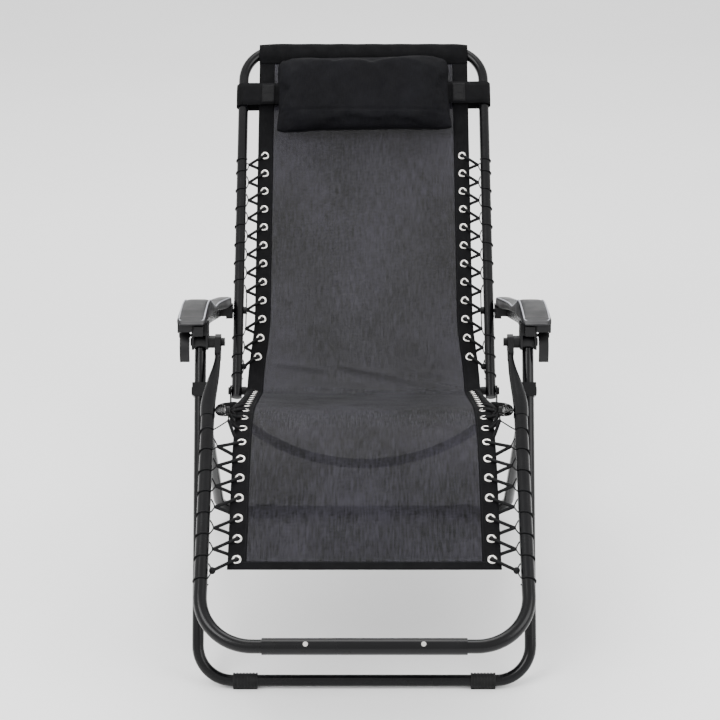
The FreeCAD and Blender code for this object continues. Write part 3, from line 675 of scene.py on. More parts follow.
# ---- sling and lacing -------------------------------------------------------------------------------------
@dataclass
class Sling:
    """One mesh cloth from the top bar over the hip to the foot, with hems, pocket, eyelets and stitches."""

    back_half: float = 0.235
    seat_half: float = 0.247
    hem_wide: float = 0.034
    top: float = 0.797
    bend: float = 0.055
    pitch: float = 0.0436
    first_back: float = 0.077
    back_count: int = 12
    seat_count: int = 18
    inset: float = 0.016
    sag: float = 0.006
    cloth: float = 0.0014
    stitch_step: float = 0.0058
    # Folds: start and end, each as x and distance below the pocket's seam, then height and width.
    folds: tuple = ((-0.078, 0.064, 0.215, -0.012, 0.0058, 0.0056),
                    (-0.215, 0.062, -0.050, 0.040, 0.0038, 0.0052),
                    (-0.170, 0.022, 0.085, 0.002, 0.0034, 0.0064),
                    (0.020, 0.040, 0.205, 0.030, 0.0024, 0.0070))

    def __post_init__(self) -> None:
        """Lays out the cloth's middle line from the pocket's seam to the foot hem."""
        lay = LAYOUT
        back_steps, hip_steps, knee_steps, flat_steps = 140, 18, 30, 40
        points = [lay.hip + lay.up_back * (self.top - (self.top - self.bend) * i / back_steps)
                  for i in range(back_steps + 1)]
        seat_end = lay.side(0.332, -0.252)
        knee = lay.axis + lay.down_rest * lay.rail_front + Vector((0, 0.024, -0.016))
        hem = lay.axis + lay.down_rest * 0.480
        ahead = (knee - seat_end).normalized()
        start, end = points[-1], seat_end + ahead * 0.03
        span = end - start
        cross = lay.up_back.y * ahead.z - lay.up_back.z * ahead.y
        reach = (span.y * ahead.z - span.z * ahead.y) / cross
        pull = start + lay.up_back * reach
        points += [self.quadratic(start, pull, end, i / hip_steps) for i in range(1, hip_steps + 1)]
        near = knee + (seat_end - knee) * 0.34
        far = knee + (hem - knee) * 0.42
        points += [end + (near - end) * i / flat_steps for i in range(1, flat_steps + 1)]
        points += [self.quadratic(near, knee, far, i / knee_steps) for i in range(1, knee_steps + 1)]
        points += [far + (hem - far) * i / flat_steps for i in range(1, flat_steps + 1)]
        self.points = points
        self.runs = [0.0]
        for a, b in zip(points, points[1:]):
            self.runs.append(self.runs[-1] + (b - a).length)
        self.length = self.runs[-1]
        self.hip_run = self.top - self.bend
        self.seat_run = self.runs[back_steps + hip_steps] - 0.03

    @staticmethod
    def quadratic(a: Vector, b: Vector, c: Vector, t: float) -> Vector:
        """A point of the quadratic Bezier curve through a and c, pulled to b."""
        return a * (1 - t) ** 2 + b * 2 * t * (1 - t) + c * t * t

    def half(self, run: float) -> float:
        """Half the cloth's width at a run from its top."""
        share = min(max((run - self.hip_run + 0.12) / 0.16, 0), 1)
        return self.back_half + (self.seat_half - self.back_half) * share * share * (3 - 2 * share)

    def crease(self, run: float, x: float) -> float:
        """Adds up the loose folds across the bottom of the back.

        Args:
            run: distance down the cloth.
            x: place across the cloth.

        Returns:
            The folds' height there.
        """
        total = 0.0
        for x0, r0, x1, r1, tall, wide in self.folds:
            ax, ay, bx, by = x0, self.top - r0, x1, self.top - r1
            length = math.hypot(bx - ax, by - ay)
            ux, uy = (bx - ax) / length, (by - ay) / length
            along = (x - ax) * ux + (run - ay) * uy
            off = (x - ax) * -uy + (run - ay) * ux + 0.006 * math.sin(3.1 * along / length)
            fade = max(0.0, min(along / 0.05, (length - along) / 0.05, 1.0))
            crest, dip = math.exp(-(off / wide) ** 2), math.exp(-((off - 1.7 * wide) / wide) ** 2)
            total += tall * fade * (crest - 0.7 * dip)
        return total

    def at(self, run: float, x: float, loose: bool = True) -> tuple[Vector, Vector, Vector]:
        """Finds a place on the cloth.

        Args:
            run: distance down the cloth from the pocket's seam.
            x: place across the cloth.
            loose: whether sag and folds are added.

        Returns:
            The point, the outward normal and the direction down the cloth.
        """
        run_in = min(max(run, 0.0), self.length)
        low, high = 0, len(self.runs) - 1
        while high - low > 1:
            mid = (low + high) // 2
            low, high = (mid, high) if self.runs[mid] <= run_in else (low, mid)
        down = (self.points[high] - self.points[low]).normalized()
        point = self.points[low] + down * (run - self.runs[low])
        out = Vector((0, down.z, -down.y))
        if loose:
            share = min(abs(x) / self.half(run), 1)
            along = math.sin(math.pi * min(max(run / self.length, 0), 1)) ** 0.5
            fold = self.crease(run, x) * (1 - share ** 6)
            point = point + out * (fold - self.sag * (1 - share ** 2) * along)
        return point + Vector((x, 0, 0)), out, down

    def strip(self, runs: list[float], place: Callable[[float, float], float], columns: int,
              thick: float) -> bpy.types.Mesh:
        """Builds a closed strip of cloth on the sling's surface.

        Args:
            runs: distances down the cloth.
            place: function of a run and a share from 0 to 1 that gives x.
            columns: number of points across.
            thick: its thickness.

        Returns:
            The closed mesh.
        """
        rows = []
        for run in runs:
            row = []
            for c in range(columns):
                x = place(run, c / (columns - 1))
                point, out, _ = self.at(run, x)
                row.append((point, out, (x, run)))
            rows.append(row)
        return shell(rows, thick)

    def hang(self, made: bpy.types.Object) -> bpy.types.Object:
        """Bakes the placement of a piece of the sling into its mesh.

        Args:
            made: the piece.

        Returns:
            The same piece.
        """
        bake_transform(made)
        return made

    def eyelet_runs(self) -> tuple[list[float], list[float]]:
        """Runs of the eyelets on the back and on the seat, from the top down."""
        back = [self.top - self.first_back - self.pitch * i for i in reversed(range(self.back_count))]
        return back, [self.seat_run + 0.016 + self.pitch * i for i in range(self.seat_count)]

    def pocket(self) -> bpy.types.Mesh:
        """Wraps the reinforced pocket round the top bar, a little slack at its corners.

        Returns:
            The closed mesh.
        """
        lay = LAYOUT
        wrap = 0.0128
        bar = lay.back_long
        outline = [(0.0018, 0.788), (0.0028, 0.7925), (0.0075, 0.798), (0.0112, 0.805), (wrap, 0.814)]
        arc = [(wrap * math.cos(math.radians(a)), bar + wrap * math.sin(math.radians(a)))
               for a in range(0, 181, 15)]
        outline = outline + arc + [(-out, up) for out, up in reversed(outline)]
        columns = [-0.2355 + 0.471 * i / 60 for i in range(61)]
        rows, walked = [], 0.0
        for index, (out, up) in enumerate(outline):
            if index:
                walked += math.dist(outline[index - 1], (out, up))
            after = outline[min(index + 1, len(outline) - 1)]
            before = outline[max(index - 1, 0)]
            turn = Vector((0, after[1] - before[1], before[0] - after[0])).normalized()
            normal = lay.out_back * turn.y + lay.up_back * turn.z
            row = []
            for x in columns:
                # Slack grows over the last 40 mm at each end. The ripple is half a millimetre high.
                slack = max(abs(x) - 0.195, 0) / 0.04
                lower = up - 0.0022 * slack ** 2 * max(0.0, (up - 0.80) / 0.03)
                squeeze = 1 - 0.06 * slack
                ripple = 0.0005 * math.sin(x * 95 + up * 60)
                place = lay.hip + lay.up_back * lower + lay.out_back * (out * squeeze + ripple)
                row.append((place + Vector((x, 0, 0)), normal, (x, walked)))
            rows.append(row)
        return shell(rows, 0.0013)

    def build(self) -> list[bpy.types.Object]:
        """Makes the cloth, its hems, pocket, stitches and eyelets.

        Returns:
            The pieces.
        """
        steps = [self.length * i / 340 for i in range(341)]
        cloth = piece("sling_cloth", self.strip(
            steps, lambda run, t: (2 * t - 1) * (self.half(run) - 0.002), 65, self.cloth), Look.MESH.get())
        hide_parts("sling_back", "sling_seat")
        self.hang(cloth)
        made = []
        coarse = [self.length * i / 230 for i in range(231)]
        for name, sign in SIDES:
            side = piece(f"sling_side_hem_{name}", self.strip(
                coarse, lambda run, t, sign=sign: sign * (self.half(run) - self.hem_wide * (1 - t)),
                8, 0.0034), Look.HEM.get())
            made.append(self.hang(side))
        foot = piece("sling_foot_hem", self.strip(
            [self.length - 0.015 + 0.0155 * i / 6 for i in range(7)],
            lambda run, t: (2 * t - 1) * (self.half(run) + 0.0005), 60, 0.0040), Look.HEM.get())
        pocket = piece("sling_top_pocket", self.pocket(), Look.HEM.get())
        made += [attach(foot, "seat"), attach(pocket, "back")]
        made += self.stitches() + self.eyelets()
        return [cloth] + made

    def stitches(self) -> list[bpy.types.Object]:
        """Sews the side hems and the foot hem.

        Returns:
            The two pieces of thread.
        """
        thread = Scatter(Repeat.STITCH, 0.0040, 0.0009, 0.0008)
        places = []
        for i in range(1, int(self.length / self.stitch_step)):
            run = i * self.stitch_step
            for _, sign in SIDES:
                point, out, down = self.at(run, sign * (self.half(run) - (self.hem_wide - 0.003)))
                places.append((point + out * 0.0018, down, out))
        sides = thread.make("sling_hem_stitches", places, Look.THREAD.get())
        self.hang(sides)
        places = []
        for i in range(-38, 39):
            point, out, _ = self.at(self.length - 0.0125, i * self.stitch_step)
            places.append((point + out * 0.0021, Vector((1, 0, 0)), out))
        foot = thread.make("sling_foot_stitches", places, Look.THREAD.get())
        return [sides, attach(foot, "seat")]

    def eyelets(self) -> list[bpy.types.Object]:
        """Sets a rolled ring on both faces of the hem at each eyelet.

        Returns:
            The eyelets of the back and of the seat.
        """
        made = []
        for body, runs in zip(("back", "seat"), self.eyelet_runs()):
            places = []
            for run in runs:
                for _, sign in SIDES:
                    point, out, down = self.at(run, sign * (self.half(run) - self.inset))
                    places += [(point + out * 0.0019, down, out), (point - out * 0.0019, down, out)]
            rings = Scatter(Repeat.EYELET, 0.0070, 0.0023, 0.62).make(f"eyelets_{body}", places,
                                                                      Look.NICKEL.get())
            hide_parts(f"grommets_{body}")
            made.append(attach(rings, body))
        return made


@dataclass
class Lacing:
    """Elastic cord: thick loops from eyelet to eyelet, and thin links round the tube between them."""

    sling: Sling
    thick: float = 0.0033
    thin: float = 0.0013
    bracket_reach: float = 0.052
    turn_steps: int = 22

    def section(self, runs: list[float], on_back: bool,
                sign: int) -> tuple[list[list[Vector]], list[list[Vector]], list[Vector]]:
        """Lays out one side of one section.

        Args:
            runs: the eyelets' runs from the top down.
            on_back: whether the section is on the back.
            sign: -1 for the left, 1 for the right.

        Returns:
            Thick runs, thin runs and knots.
        """
        sling, pitch = self.sling, self.sling.pitch
        across = Vector((sign, 0, 0))

        def edge(run: float, inset: float, lift: float) -> Vector:
            """A point near the cloth's edge, lifted along its normal."""
            point, out, _ = sling.at(run, sign * (sling.half(run) - inset))
            return point + out * lift

        def apex(run: float) -> Vector:
            """Finds the outer corner of a loop, between the hem and the tube.

            Args:
                run: the corner's distance down the cloth.

            Returns:
                The corner.
            """
            point, _, _ = sling.at(run, 0, False)
            middle, x, radius = LAYOUT.tube(point, on_back)
            half = sling.half(run)
            place = point.lerp(middle, 0.6)
            return Vector((sign * (half + 0.78 * (x - radius - half)), place.y, place.z))

        def wrap(run: float, span: float) -> list[Vector]:
            """Turns the cord round the tube, from its inner side over the front to the back.

            Args:
                run: the turn's distance down the cloth.
                span: how far the turn climbs along the tube.

            Returns:
                The turn's points.
            """
            turns = []
            for step in range(self.turn_steps + 1):
                here = run + span * (step / self.turn_steps - 0.5)
                point, out, _ = sling.at(here, 0, False)
                middle, x, radius = LAYOUT.tube(point, on_back)
                angle = math.radians(20 + 320 * step / self.turn_steps)
                ring = radius + self.thin + 0.0001
                turns.append(middle + Vector((sign * x, 0, 0)) - across * ring * math.cos(angle)
                             + out * ring * math.sin(angle))
            return turns

        # Each edge() is a run, an inset from the cloth's edge and a height over the cloth: a loop comes up
        # through its eyelet, crosses the hem to its corner, and goes back under the hem to the next eyelet.
        loops, links, knots = [], [], []
        for index, run in enumerate(runs):
            last = index == len(runs) - 1
            corner = apex(run + 0.5 * pitch)
            head = [edge(run - 0.001, sling.inset + 0.002, -0.002), edge(run, sling.inset, 0.0035),
                    edge(run + 0.16 * pitch, 0.006, 0.0050),
                    corner.lerp(edge(run + 0.3 * pitch, 0.0, 0.0045), 0.06), corner]
            point, _, _ = sling.at(run + pitch, 0, False)
            middle, _, _ = LAYOUT.tube(point, on_back)
            # No turn goes round the seat rail's rear end, or where the armrest's bracket slides.
            pivot_gap = (middle - LAYOUT.hip).dot(LAYOUT.up_back) - LAYOUT.arm_pivot_up
            beyond = abs(pivot_gap) < self.bracket_reach if on_back else middle.y > LAYOUT.side(0.335, 0).y
            if last:
                loops.append(head)
                knots.append(corner)
                links.append([corner] + wrap(run + 1.0 * pitch, 0.006))
            else:
                loops.append(head + [corner.lerp(edge(run + 0.66 * pitch, 0.0, -0.0045), 0.06),
                                     edge(run + 0.68 * pitch, 0.004, -0.0050),
                                     edge(run + 0.9 * pitch, sling.inset - 0.004, -0.0052),
                                     edge(run + pitch, sling.inset, -0.002)])
                turns = [] if beyond else wrap(run + 1.0 * pitch, 0.010)
                links.append([corner] + turns + [apex(run + 1.5 * pitch)])
        if on_back:
            links.append(wrap(runs[0] + 0.3 * pitch, 0.006) + [apex(runs[0] + 0.5 * pitch)])
        loops.append([edge(runs[0] + 0.001, sling.inset, -0.002), edge(runs[0], sling.inset, 0.0035)])
        return loops, links, knots

    def build(self) -> list[bpy.types.Object]:
        """Makes the lacing of the back and of the seat.

        Returns:
            Four cord pieces.
        """
        made = []
        for body, runs in zip(("back", "seat"), self.sling.eyelet_runs()):
            halves = [self.section(runs, body == "back", sign) for _, sign in SIDES]
            loops, links, knots = (left + right for left, right in zip(*halves))
            thick = cords(f"lacing_loops_{body}", loops, self.thick, Look.ELASTIC.get(), knots)
            thin = cords(f"lacing_links_{body}", links, self.thin, Look.ELASTIC.get())
            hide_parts(f"lacing_{body}")
            made += [attach(cord, body) for cord in (thick, thin)]
        return made


# ---- armrests ---------------------------------------------------------------------------------------------
@dataclass
class Armrest:
    """A waved, moulded pad with pale edge beads, on the sliding rail of one side."""

    side: str
    sign: int
    slope: float = math.radians(-14.78374592)
    front: float = -0.066
    rear: float = 0.516

    def world(self, x: float, along: float, up: float) -> Vector:
        """A point given in the arm's own frame, on this side."""
        turn, rise = math.cos(self.slope), math.sin(self.slope)
        return Vector((self.sign * x, LAYOUT.axis.y + along * turn - up * rise,
                       LAYOUT.axis.z + along * rise + up * turn))

    @staticmethod
    def ease(table: list[tuple[float, float]], at: float) -> float:
        """Smoothly interpolates a table (Catmull-Rom).

        Args:
            table: pairs of a place and a value, in order.
            at: the place asked for.

        Returns:
            The value there.
        """
        keys = [k for k, _ in table]
        last = len(keys) - 2
        i = next((n for n in range(last + 1) if at < keys[n + 1]), last)
        t = (at - keys[i]) / (keys[i + 1] - keys[i])
        t = max(0.0, min(1.0, t))
        v = [table[max(0, min(len(table) - 1, i + d))][1] for d in (-1, 0, 1, 2)]
        return 0.5 * (2 * v[1] + (v[2] - v[0]) * t + (2 * v[0] - 5 * v[1] + 4 * v[2] - v[3]) * t * t
                      + (3 * v[1] - v[0] - 3 * v[2] + v[3]) * t ** 3)

    def top(self, along: float) -> float:
        """Height of the pad's top."""
        return self.ease([(-0.066, 0.0425), (-0.060, 0.0470), (-0.048, 0.0525), (-0.004, 0.0620),
                          (0.060, 0.0712), (0.115, 0.0690), (0.180, 0.0538), (0.250, 0.0412),
                          (0.320, 0.0392), (0.395, 0.0380), (0.465, 0.0342), (0.516, 0.0240)], along)

    def under(self, along: float) -> float:
        """Finds the pad's underside: over the lock in front, then over the bent rail.

        Args:
            along: place along the arm.

        Returns:
            Its height.
        """
        lock_end, lock_top, bend, rail_top, rail_low = 0.072, 0.0395, 0.150, 0.0364, 0.0142
        if along < lock_end:
            return lock_top
        rail = rail_top - max(along - bend, 0.0) * 0.0826
        return max(rail, rail_low) + (lock_top - rail_top) * max(0.0, 1 - (along - lock_end) / 0.006)

    def sides(self, along: float) -> tuple[float, float]:
        """Finds the pad's sides.

        Args:
            along: place along the arm.

        Returns:
            Inner and outer x, on the right-hand side.
        """
        inner = self.ease([(-0.066, 0.3035), (-0.05, 0.2995), (0.25, 0.2990), (0.33, 0.2980),
                           (0.42, 0.2870), (0.47, 0.2832), (0.516, 0.2860)], along)
        outer = self.ease([(-0.066, 0.3480), (-0.05, 0.3546), (0.10, 0.3543), (0.15, 0.3525), (0.32, 0.3330),
                           (0.45, 0.3130), (0.516, 0.3040)], along)
        return inner, outer

    def section(self, along: float) -> list[Vector]:
        """Draws one rounded cross-section of the pad.

        Args:
            along: place along the arm.

        Returns:
            A ring of 32 points.
        """
        inner, outer = self.sides(along)
        top = self.top(along)
        low = self.under(along)
        middle, half = (inner + outer) / 2, (outer - inner) / 2
        rise = (top - low) / 2
        ring = []
        for i in range(32):
            angle = 2 * math.pi * i / 32
            c, s = math.cos(angle), math.sin(angle)
            x = math.copysign(abs(c) ** 0.42, c)
            z = math.copysign(abs(s) ** (0.62 if s > 0 else 0.3), s)
            ring.append(self.world(middle + half * x, along, low + rise + rise * z))
        return ring

    def bead_path(self) -> list[Vector]:
        """Lays the pale bead up one edge, across the front and down the other.

        Returns:
            The bead's middle line.
        """
        def spot(along: float, share: float) -> Vector:
            """Finds a point of the bead, half sunk in the pad's crown.

            Args:
                along: place along the arm.
                share: place across, from -1 at the inner side to 1 at the outer.

            Returns:
                The point.
            """
            inner, outer = self.sides(along)
            middle, half = (inner + outer) / 2, (outer - inner) / 2
            return self.world(middle + half * share, along, self.top(along) - 0.0019)
        steps = [self.rear - 0.012 - (self.rear - self.front - 0.024) * i / 52 for i in range(53)]
        outer = [spot(a, 0.86) for a in steps]
        front = [spot(self.front + 0.0095, share) for share in (0.5, 0.0, -0.5)]
        return outer + front + [spot(a, -0.86) for a in reversed(steps)]

    def block(self, x: tuple[float, float], y: tuple[float, float], z: tuple[float, float],
              bevel: float = 0.0012) -> bpy.types.Mesh:
        """Makes a bevelled block in the arm's frame.

        Args:
            x: its inner and outer side.
            y: its front and rear.
            z: its underside and top.
            bevel: width of its rounded edges.

        Returns:
            The closed mesh.
        """
        work = bmesh.new()
        bmesh.ops.create_cube(work, size=1.0)
        for vert in work.verts:
            vert.co = self.world((x[0] + x[1]) / 2 + vert.co.x * (x[1] - x[0]),
                                 (y[0] + y[1]) / 2 + vert.co.y * (y[1] - y[0]),
                                 (z[0] + z[1]) / 2 + vert.co.z * (z[1] - z[0]))
        bmesh.ops.recalc_face_normals(work, faces=work.faces)
        bmesh.ops.bevel(work, geom=work.edges[:], offset=bevel, segments=3, affect="EDGES", profile=0.6)
        bmesh.ops.recalc_face_normals(work, faces=work.faces)
        mesh = bpy.data.meshes.new("block")
        work.to_mesh(mesh)
        work.free()
        return mesh

    def build(self) -> list[bpy.types.Object]:
        """Makes the pad, the skirt with its front lip below, and the bead.

        Returns:
            The pieces, riding on the arm.
        """
        span = self.rear - self.front
        stops = [self.front + span * (0.5 - 0.5 * math.cos(math.pi * i / 90)) for i in range(91)]
        pad = piece(f"armrest_pad_{self.side}", loft([self.section(a) for a in stops]), Look.PAD.get())
        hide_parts(f"arm_pad_{self.side}")
        skirt = merged("skirt", [self.block((0.3490, 0.3532), (-0.058, 0.140), (0.0245, 0.0450)),
                                 self.block((0.3260, 0.3500), (-0.0600, -0.0560), (0.0260, 0.0450)),
                                 self.block((0.3430, 0.3500), (-0.0575, -0.0490), (0.0260, 0.0450))])
        made = [pad, piece(f"armrest_skirt_{self.side}", skirt, Look.MOULDED.get()),
                cords(f"armrest_bead_{self.side}", [self.bead_path()], 0.0015, Look.TRIM.get())]
        return [attach(item, f"arm_{self.side}") for item in made]


# ---- headrest ---------------------------------------------------------------------------------------------
@dataclass
class Headrest:
    """A stuffed pillow on an elastic band round both back tubes."""

    down: float = 0.118
    wide: float = 0.398
    tall: float = 0.196
    low: float = 0.012
    deep: float = 0.042
    band_tall: float = 0.054
    band_thick: float = 0.0018
    band_gap: float = 0.0037
    tilt: float = math.radians(1.1)
    voxel: float = 0.005
    pressure: float = 4.0
    frames: int = 20
    cap: float = 0.010
    rest_out: float = 0.0158
    patch_out: float = 0.0163
    sewn_out: float = 0.0174
    patch_x: tuple[float, float] = (0.2015, 0.2255)

    @property
    def centre(self) -> Vector:
        """The middle of the band."""
        return LAYOUT.hip + LAYOUT.up_back * (LAYOUT.back_long - self.down)

    def world(self, x: float, out: float, up: float) -> Vector:
        """A point given across, out of and up the back, from the middle of the band."""
        return self.centre + LAYOUT.out_back * out + LAYOUT.up_back * up + Vector((x, 0, 0))

    def local(self, point: Vector) -> tuple[float, float, float]:
        """The inverse of world."""
        gap = point - self.centre
        return gap.x, gap.dot(LAYOUT.out_back), gap.dot(LAYOUT.up_back)

    def band(self) -> bpy.types.Mesh:
        """Lays the flat elastic loop round both tubes and the cord on them, slightly narrower in between.

        Returns:
            The closed mesh.
        """
        turn = LAYOUT.back_tube + self.band_gap
        path = []
        for way in (1, -1):
            path += [(way * (2 * LAYOUT.back_half * i / 40 - LAYOUT.back_half), way * turn)
                     for i in range(41)]
            path += [(way * (LAYOUT.back_half + turn * math.sin(a)), way * turn * math.cos(a))
                     for a in map(math.radians, range(15, 166, 15))]
        rings = []
        for index, (x, out) in enumerate(path):
            after, before = path[(index + 1) % len(path)], path[index - 1]
            nx, no = after[1] - before[1], before[0] - after[0]
            size = math.hypot(nx, no)
            nx, no = -nx / size, -no / size
            share = abs(x) / LAYOUT.back_half
            half = self.band_tall / 2 * (1 - 0.05 * (1 - min(share, 1)) + 0.012 * math.sin(x * 70))
            lift = 0.0025 * (x / LAYOUT.back_half)
            ring = []
            for t, u in ((-1, -1), (-0.55, -1), (0.55, -1), (1, -1), (1, 1), (0.55, 1), (-0.55, 1), (-1, 1)):
                off = u * self.band_thick / 2 * (1 if abs(t) < 1 else 0.7)
                ring.append(self.world(x + nx * off, out + no * off, t * half + lift))
            rings.append(ring)
        return loft(rings + [rings[0]], caps=False)

    def stuffed(self) -> bpy.types.Mesh:
        """Makes the pillow's body: a crowned block, remeshed and inflated as cloth.

        Returns:
            The finished mesh.
        """
        work = bmesh.new()
        bmesh.ops.create_cube(work, size=1.0)
        bmesh.ops.subdivide_edges(work, edges=work.edges[:], cuts=15, use_grid_fill=True)
        middle = 0.0138 + self.deep / 2
        for vert in work.verts:
            a, b, c = vert.co * 2
            round_x = 1 - 0.055 * b * b - 0.04 * max(c, 0) ** 4
            round_z = 1 - 0.05 * b * b - 0.10 * abs(a) ** 7 * (1.0 if c > 0 else 0.35)
            crown = 1 - 0.42 * abs(a) ** 6 - 0.34 * abs(c) ** 5
            x, up = a * self.wide / 2 * round_x, c * self.tall / 2 * round_z
            x, up = (x * math.cos(self.tilt) - up * math.sin(self.tilt),
                     x * math.sin(self.tilt) + up * math.cos(self.tilt))
            vert.co = self.world(x, middle + b * -self.deep / 2 * crown, up - self.low)
        bmesh.ops.recalc_face_normals(work, faces=work.faces)
        mesh = bpy.data.meshes.new("pillow")
        work.to_mesh(mesh)
        work.free()
        source = linked("pillow_start", mesh)
        grid = source.modifiers.new("voxels", "REMESH")
        grid.mode = "VOXEL"
        grid.voxel_size = self.voxel
        even = baked(source, "pillow_even")
        cloth = linked("pillow_cloth", even)
        rest = [v.co.copy() for v in even.vertices]
        modifier = cloth.modifiers.new("cloth", "CLOTH")
        modifier.settings.use_pressure = True
        modifier.settings.uniform_pressure_force = self.pressure
        modifier.settings.effector_weights.gravity = 0
        modifier.settings.quality = 5
        scene = bpy.context.scene
        for step in range(1, self.frames + 1):
            scene.frame_set(step)
        graph = bpy.context.evaluated_depsgraph_get()
        moved = [v.co.copy() for v in cloth.evaluated_get(graph).data.vertices]
        cloth.modifiers.remove(modifier)
        for vert, before, after in zip(even.vertices, rest, moved):
            shift = after - before
            if shift.length > self.cap:
                shift *= self.cap / shift.length
            vert.co = before + shift
        bpy.data.objects.remove(cloth, do_unlink=True)
        scene.frame_set(1)
        return self.finish(even)

    def finish(self, mesh: bpy.types.Mesh) -> bpy.types.Mesh:
        """Rests the back on the band, tucks the corners, subdivides once and maps the weave.

        Args:
            mesh: the pillow after its simulation.

        Returns:
            The finished mesh.
        """
        corner_x, corner_up, face, ratio = 0.19, 0.08, 0.03, 1.9
        for vert in mesh.vertices:
            x, out, up = self.local(vert.co)
            out = max(out, self.rest_out + 0.004 * min(1.0, (abs(x) / corner_x) ** 6))
            ax, az = x / corner_x, up / corner_up
            tuck = 0.0
            for cx, cz in ((1, 1), (-1, 1), (1, -1), (-1, -1)):
                reach = math.hypot((ax - cx) * ratio, az - cz)
                angle = math.atan2(az - cz, (ax - cx) * ratio)
                tuck += math.exp(-(reach / 0.75) ** 2) * math.sin(angle * 9 + cx * 2 + cz)
            out += 0.0007 * tuck * (1 if out > face else 0)
            # A seam across the lower face, 1.6 mm deep.
            seam = abs(up + 0.066 + 0.02 * (x / 0.2) ** 2 * 0.1)
            if out > face:
                out -= 0.0016 * math.exp(-(seam / 0.0028) ** 2)
            vert.co = self.world(x, out, up)
        source = linked("pillow_fine", mesh)
        finer = source.modifiers.new("finer", "SUBSURF")
        finer.levels = finer.render_levels = 1
        done = baked(source, "pillow_done")
        layer = done.uv_layers.new(name="UVMap")
        for loop in done.loops:
            x, _, up = self.local(done.vertices[loop.vertex_index].co)
            layer.data[loop.index].uv = (x, up)
        return done

    def welt(self, mesh: bpy.types.Mesh) -> list[Vector]:
        """Lays the closing seam round the pillow's widest outline.

        Args:
            mesh: the finished pillow.

        Returns:
            The seam's closed line.
        """
        best: dict[int, tuple[float, Vector]] = {}
        for vert in mesh.vertices:
            x, out, up = self.local(vert.co)
            if out > 0.044:
                continue
            key = int((math.atan2(up * 2.2, x) + math.pi) / (2 * math.pi) * 96) % 96
            reach = math.hypot(x, up * 2.2)
            if reach > best.get(key, (0.0, None))[0]:
                best[key] = (reach, vert.co.copy())
        path = [best[k][1] for k in sorted(best)]
        level = []
        for point in path:
            x, _, up = self.local(point)
            level.append(self.world(x, 0.031, up))
        return level + level[:2]

    def build(self) -> list[bpy.types.Object]:
        """Makes the pillow, its welt, the band and its sewn patches.

        Returns:
            The pieces, riding on the headrest.
        """
        body = self.stuffed()
        path = self.welt(body)
        pillow = piece("pillow_body", body, Look.PILLOW.get())
        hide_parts("headrest_pillow")
        welt = cords("pillow_welt", [path], 0.0017, Look.HEM.get())
        band = piece("headrest_band", self.band(), Look.HEM.get())
        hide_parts("headrest_straps")
        patch = piece("headrest_band_patches", merged("patches", [self.patch(sign) for _, sign in SIDES]),
                      Look.ELASTIC.get())
        places = []
        for _, sign in SIDES:
            for i in range(9):
                up = -0.020 + 0.040 * i / 8
                for x in (sign * self.patch_x[0], sign * self.patch_x[1]):
                    places.append((self.world(x, self.sewn_out, up), LAYOUT.up_back, LAYOUT.out_back))
            for i in range(1, 5):
                x = sign * self.patch_x[0] + sign * 0.024 * i / 5
                for up in (-0.0215, 0.0215, 0.0):
                    places.append((self.world(x, self.sewn_out, up), Vector((1, 0, 0)), LAYOUT.out_back))
        sewn = Scatter(Repeat.STITCH, 0.0038, 0.0009, 0.0008).make("headrest_patch_stitches", places,
                                                                   Look.THREAD.get())
        return [attach(item, "headrest") for item in (pillow, welt, band, patch, sewn)]

    def patch(self, sign: int) -> bpy.types.Mesh:
        """Makes the patch that is sewn over the band beside the pillow.

        Args:
            sign: -1 for the left, 1 for the right.

        Returns:
            The closed mesh.
        """
        rows = []
        for i in range(9):
            up = -0.0225 + 0.045 * i / 8
            row = []
            for j in range(7):
                x = sign * 0.2135 + (j / 6 - 0.5) * 0.030
                row.append((self.world(x, self.patch_out, up + 0.0025 * x / 0.27), LAYOUT.out_back, (x, up)))
            rows.append(row)
        return shell(rows, 0.0014)


# ---- finishes of the frame's own pieces --------------------------------------------------------------------
SLOT_LOOKS = {
    "black_tube": Look.TUBE, "black_plastic": Look.MOULDED, "rubber": Look.RUBBER, "mesh_fabric": Look.MESH,
    "woven_fabric": Look.PILLOW, "elastic_cord": Look.ELASTIC, "nickel": Look.NICKEL,
    "black_steel_hardware": Look.OXIDE,
}


def dress_frame() -> None:
    """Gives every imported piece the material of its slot."""
    for part in frame["record"]["subparts"]:
        shown = frame["nodes"][part["node"]]
        material = SLOT_LOOKS[part["material_slot"]].get()
        for slot in shown.material_slots:
            slot.material = material
        LOG.info("dressed %s in %s", part["node"], material.name)


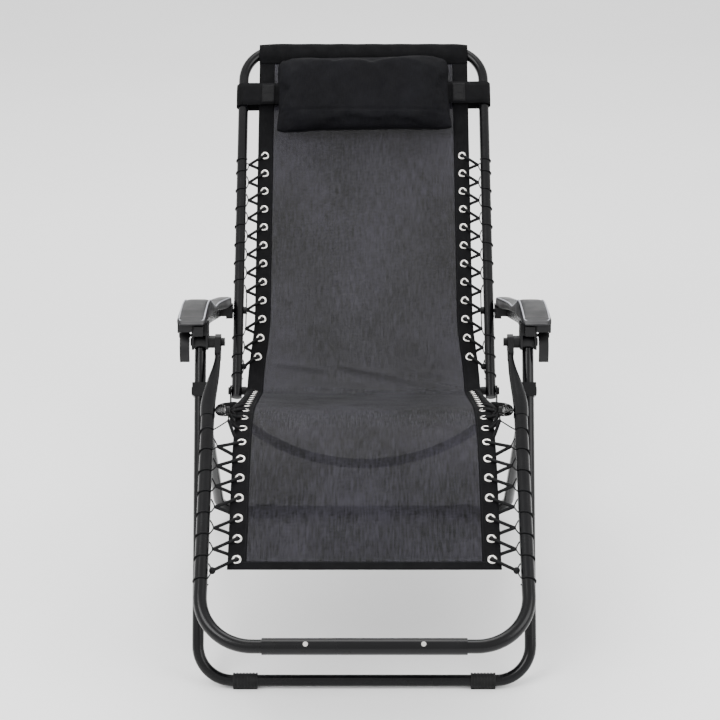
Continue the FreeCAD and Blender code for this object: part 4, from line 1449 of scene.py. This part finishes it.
# ---- studio ------------------------------------------------------------------------------------------------
@dataclass
class Studio:
    """A pale floor, soft lights and the camera."""

    lens: float = 103.65
    sensor: float = 36.0
    pitch: float = math.radians(23.0)
    # The camera's place from the middle of the arm pivot axis.
    stand: tuple[float, float, float] = (-0.008, -3.6766, 1.5227)
    daylight: float = 1.5

    def floor(self) -> None:
        """Lays a wide matt floor that curves up far behind."""
        # The floor lies just under the soles, or the two would flicker.
        flat, drop, wide, near, step, curve = 16, 0.0004, 14.0, -6.0, 0.9, 4
        rings = []
        for i in range(2 * flat + 1):
            if i < flat:
                y, z = near + i * step, -drop
            else:
                angle = math.radians(90 * (i - flat) / flat)
                y, z = near + flat * step + curve * math.sin(angle), curve - curve * math.cos(angle) - drop
            rings.append([(-wide, y, z), (wide, y, z)])
        mesh = bpy.data.meshes.new("floor")
        mesh.from_pydata([p for ring in rings for p in ring], [],
                         [(2 * i, 2 * i + 1, 2 * i + 3, 2 * i + 2) for i in range(2 * flat)])
        paper = Finish("matt_backdrop_paper", "f2f2f2", "f6f6f6", 0.85, 0.95, 4.0, 0.01, 900.0)
        piece("floor", mesh, paper.material())

    def lamp(self, name: str, place: tuple[float, float, float], aim: tuple[float, float, float],
             power: float, size: float) -> None:
        """Hangs one soft square lamp.

        Args:
            name: the lamp's name.
            place: its place in metres.
            aim: the point it faces.
            power: its power in watts.
            size: its side in metres.
        """
        data = bpy.data.lights.new(name, "AREA")
        data.energy, data.size, data.shape = power, size, "SQUARE"
        lamp = linked(name, data)
        lamp.location = place
        lamp.rotation_euler = (Vector(aim) - Vector(place)).to_track_quat("-Z", "Y").to_euler()

    def build(self) -> None:
        """Makes the floor, lamps, world and camera."""
        self.floor()
        self.lamp("key", (-2.2, -2.4, 3.4), (0, 0, 0.4), 150, 2.2)
        self.lamp("fill", (2.8, -2.0, 2.4), (0, 0, 0.4), 90, 2.4)
        self.lamp("top", (0, 1.4, 3.8), (0, 0, 0.3), 110, 2.6)
        world = bpy.data.worlds.new("studio")
        world.use_nodes = True
        sky = world.node_tree.nodes["Background"].inputs
        sky["Color"].default_value = (1, 1, 1, 1)
        sky["Strength"].default_value = self.daylight
        bpy.context.scene.world = world
        data = bpy.data.cameras.new("camera")
        data.lens, data.sensor_width = self.lens, self.sensor
        camera = linked("camera", data)
        camera.location = Vector((0, LAYOUT.axis.y, LAYOUT.axis.z)) + Vector(self.stand)
        camera.rotation_euler = Euler((math.pi / 2 - self.pitch, 0, 0))
        bpy.context.scene.camera = camera


def main() -> None:
    """Builds the recliner's pieces in order and reports each."""
    logging.basicConfig(level=logging.INFO, format="%(name)s: %(message)s")
    Studio().build()
    dress_frame()
    sling = Sling()
    made = sling.build() + Lacing(sling).build()
    for side, sign in SIDES:
        made += Armrest(side, sign).build()
    made += Headrest().build()
    for item in made:
        LOG.info("made %s with %d faces", item.name, len(item.data.polygons))


if __name__ == "__main__":
    main()
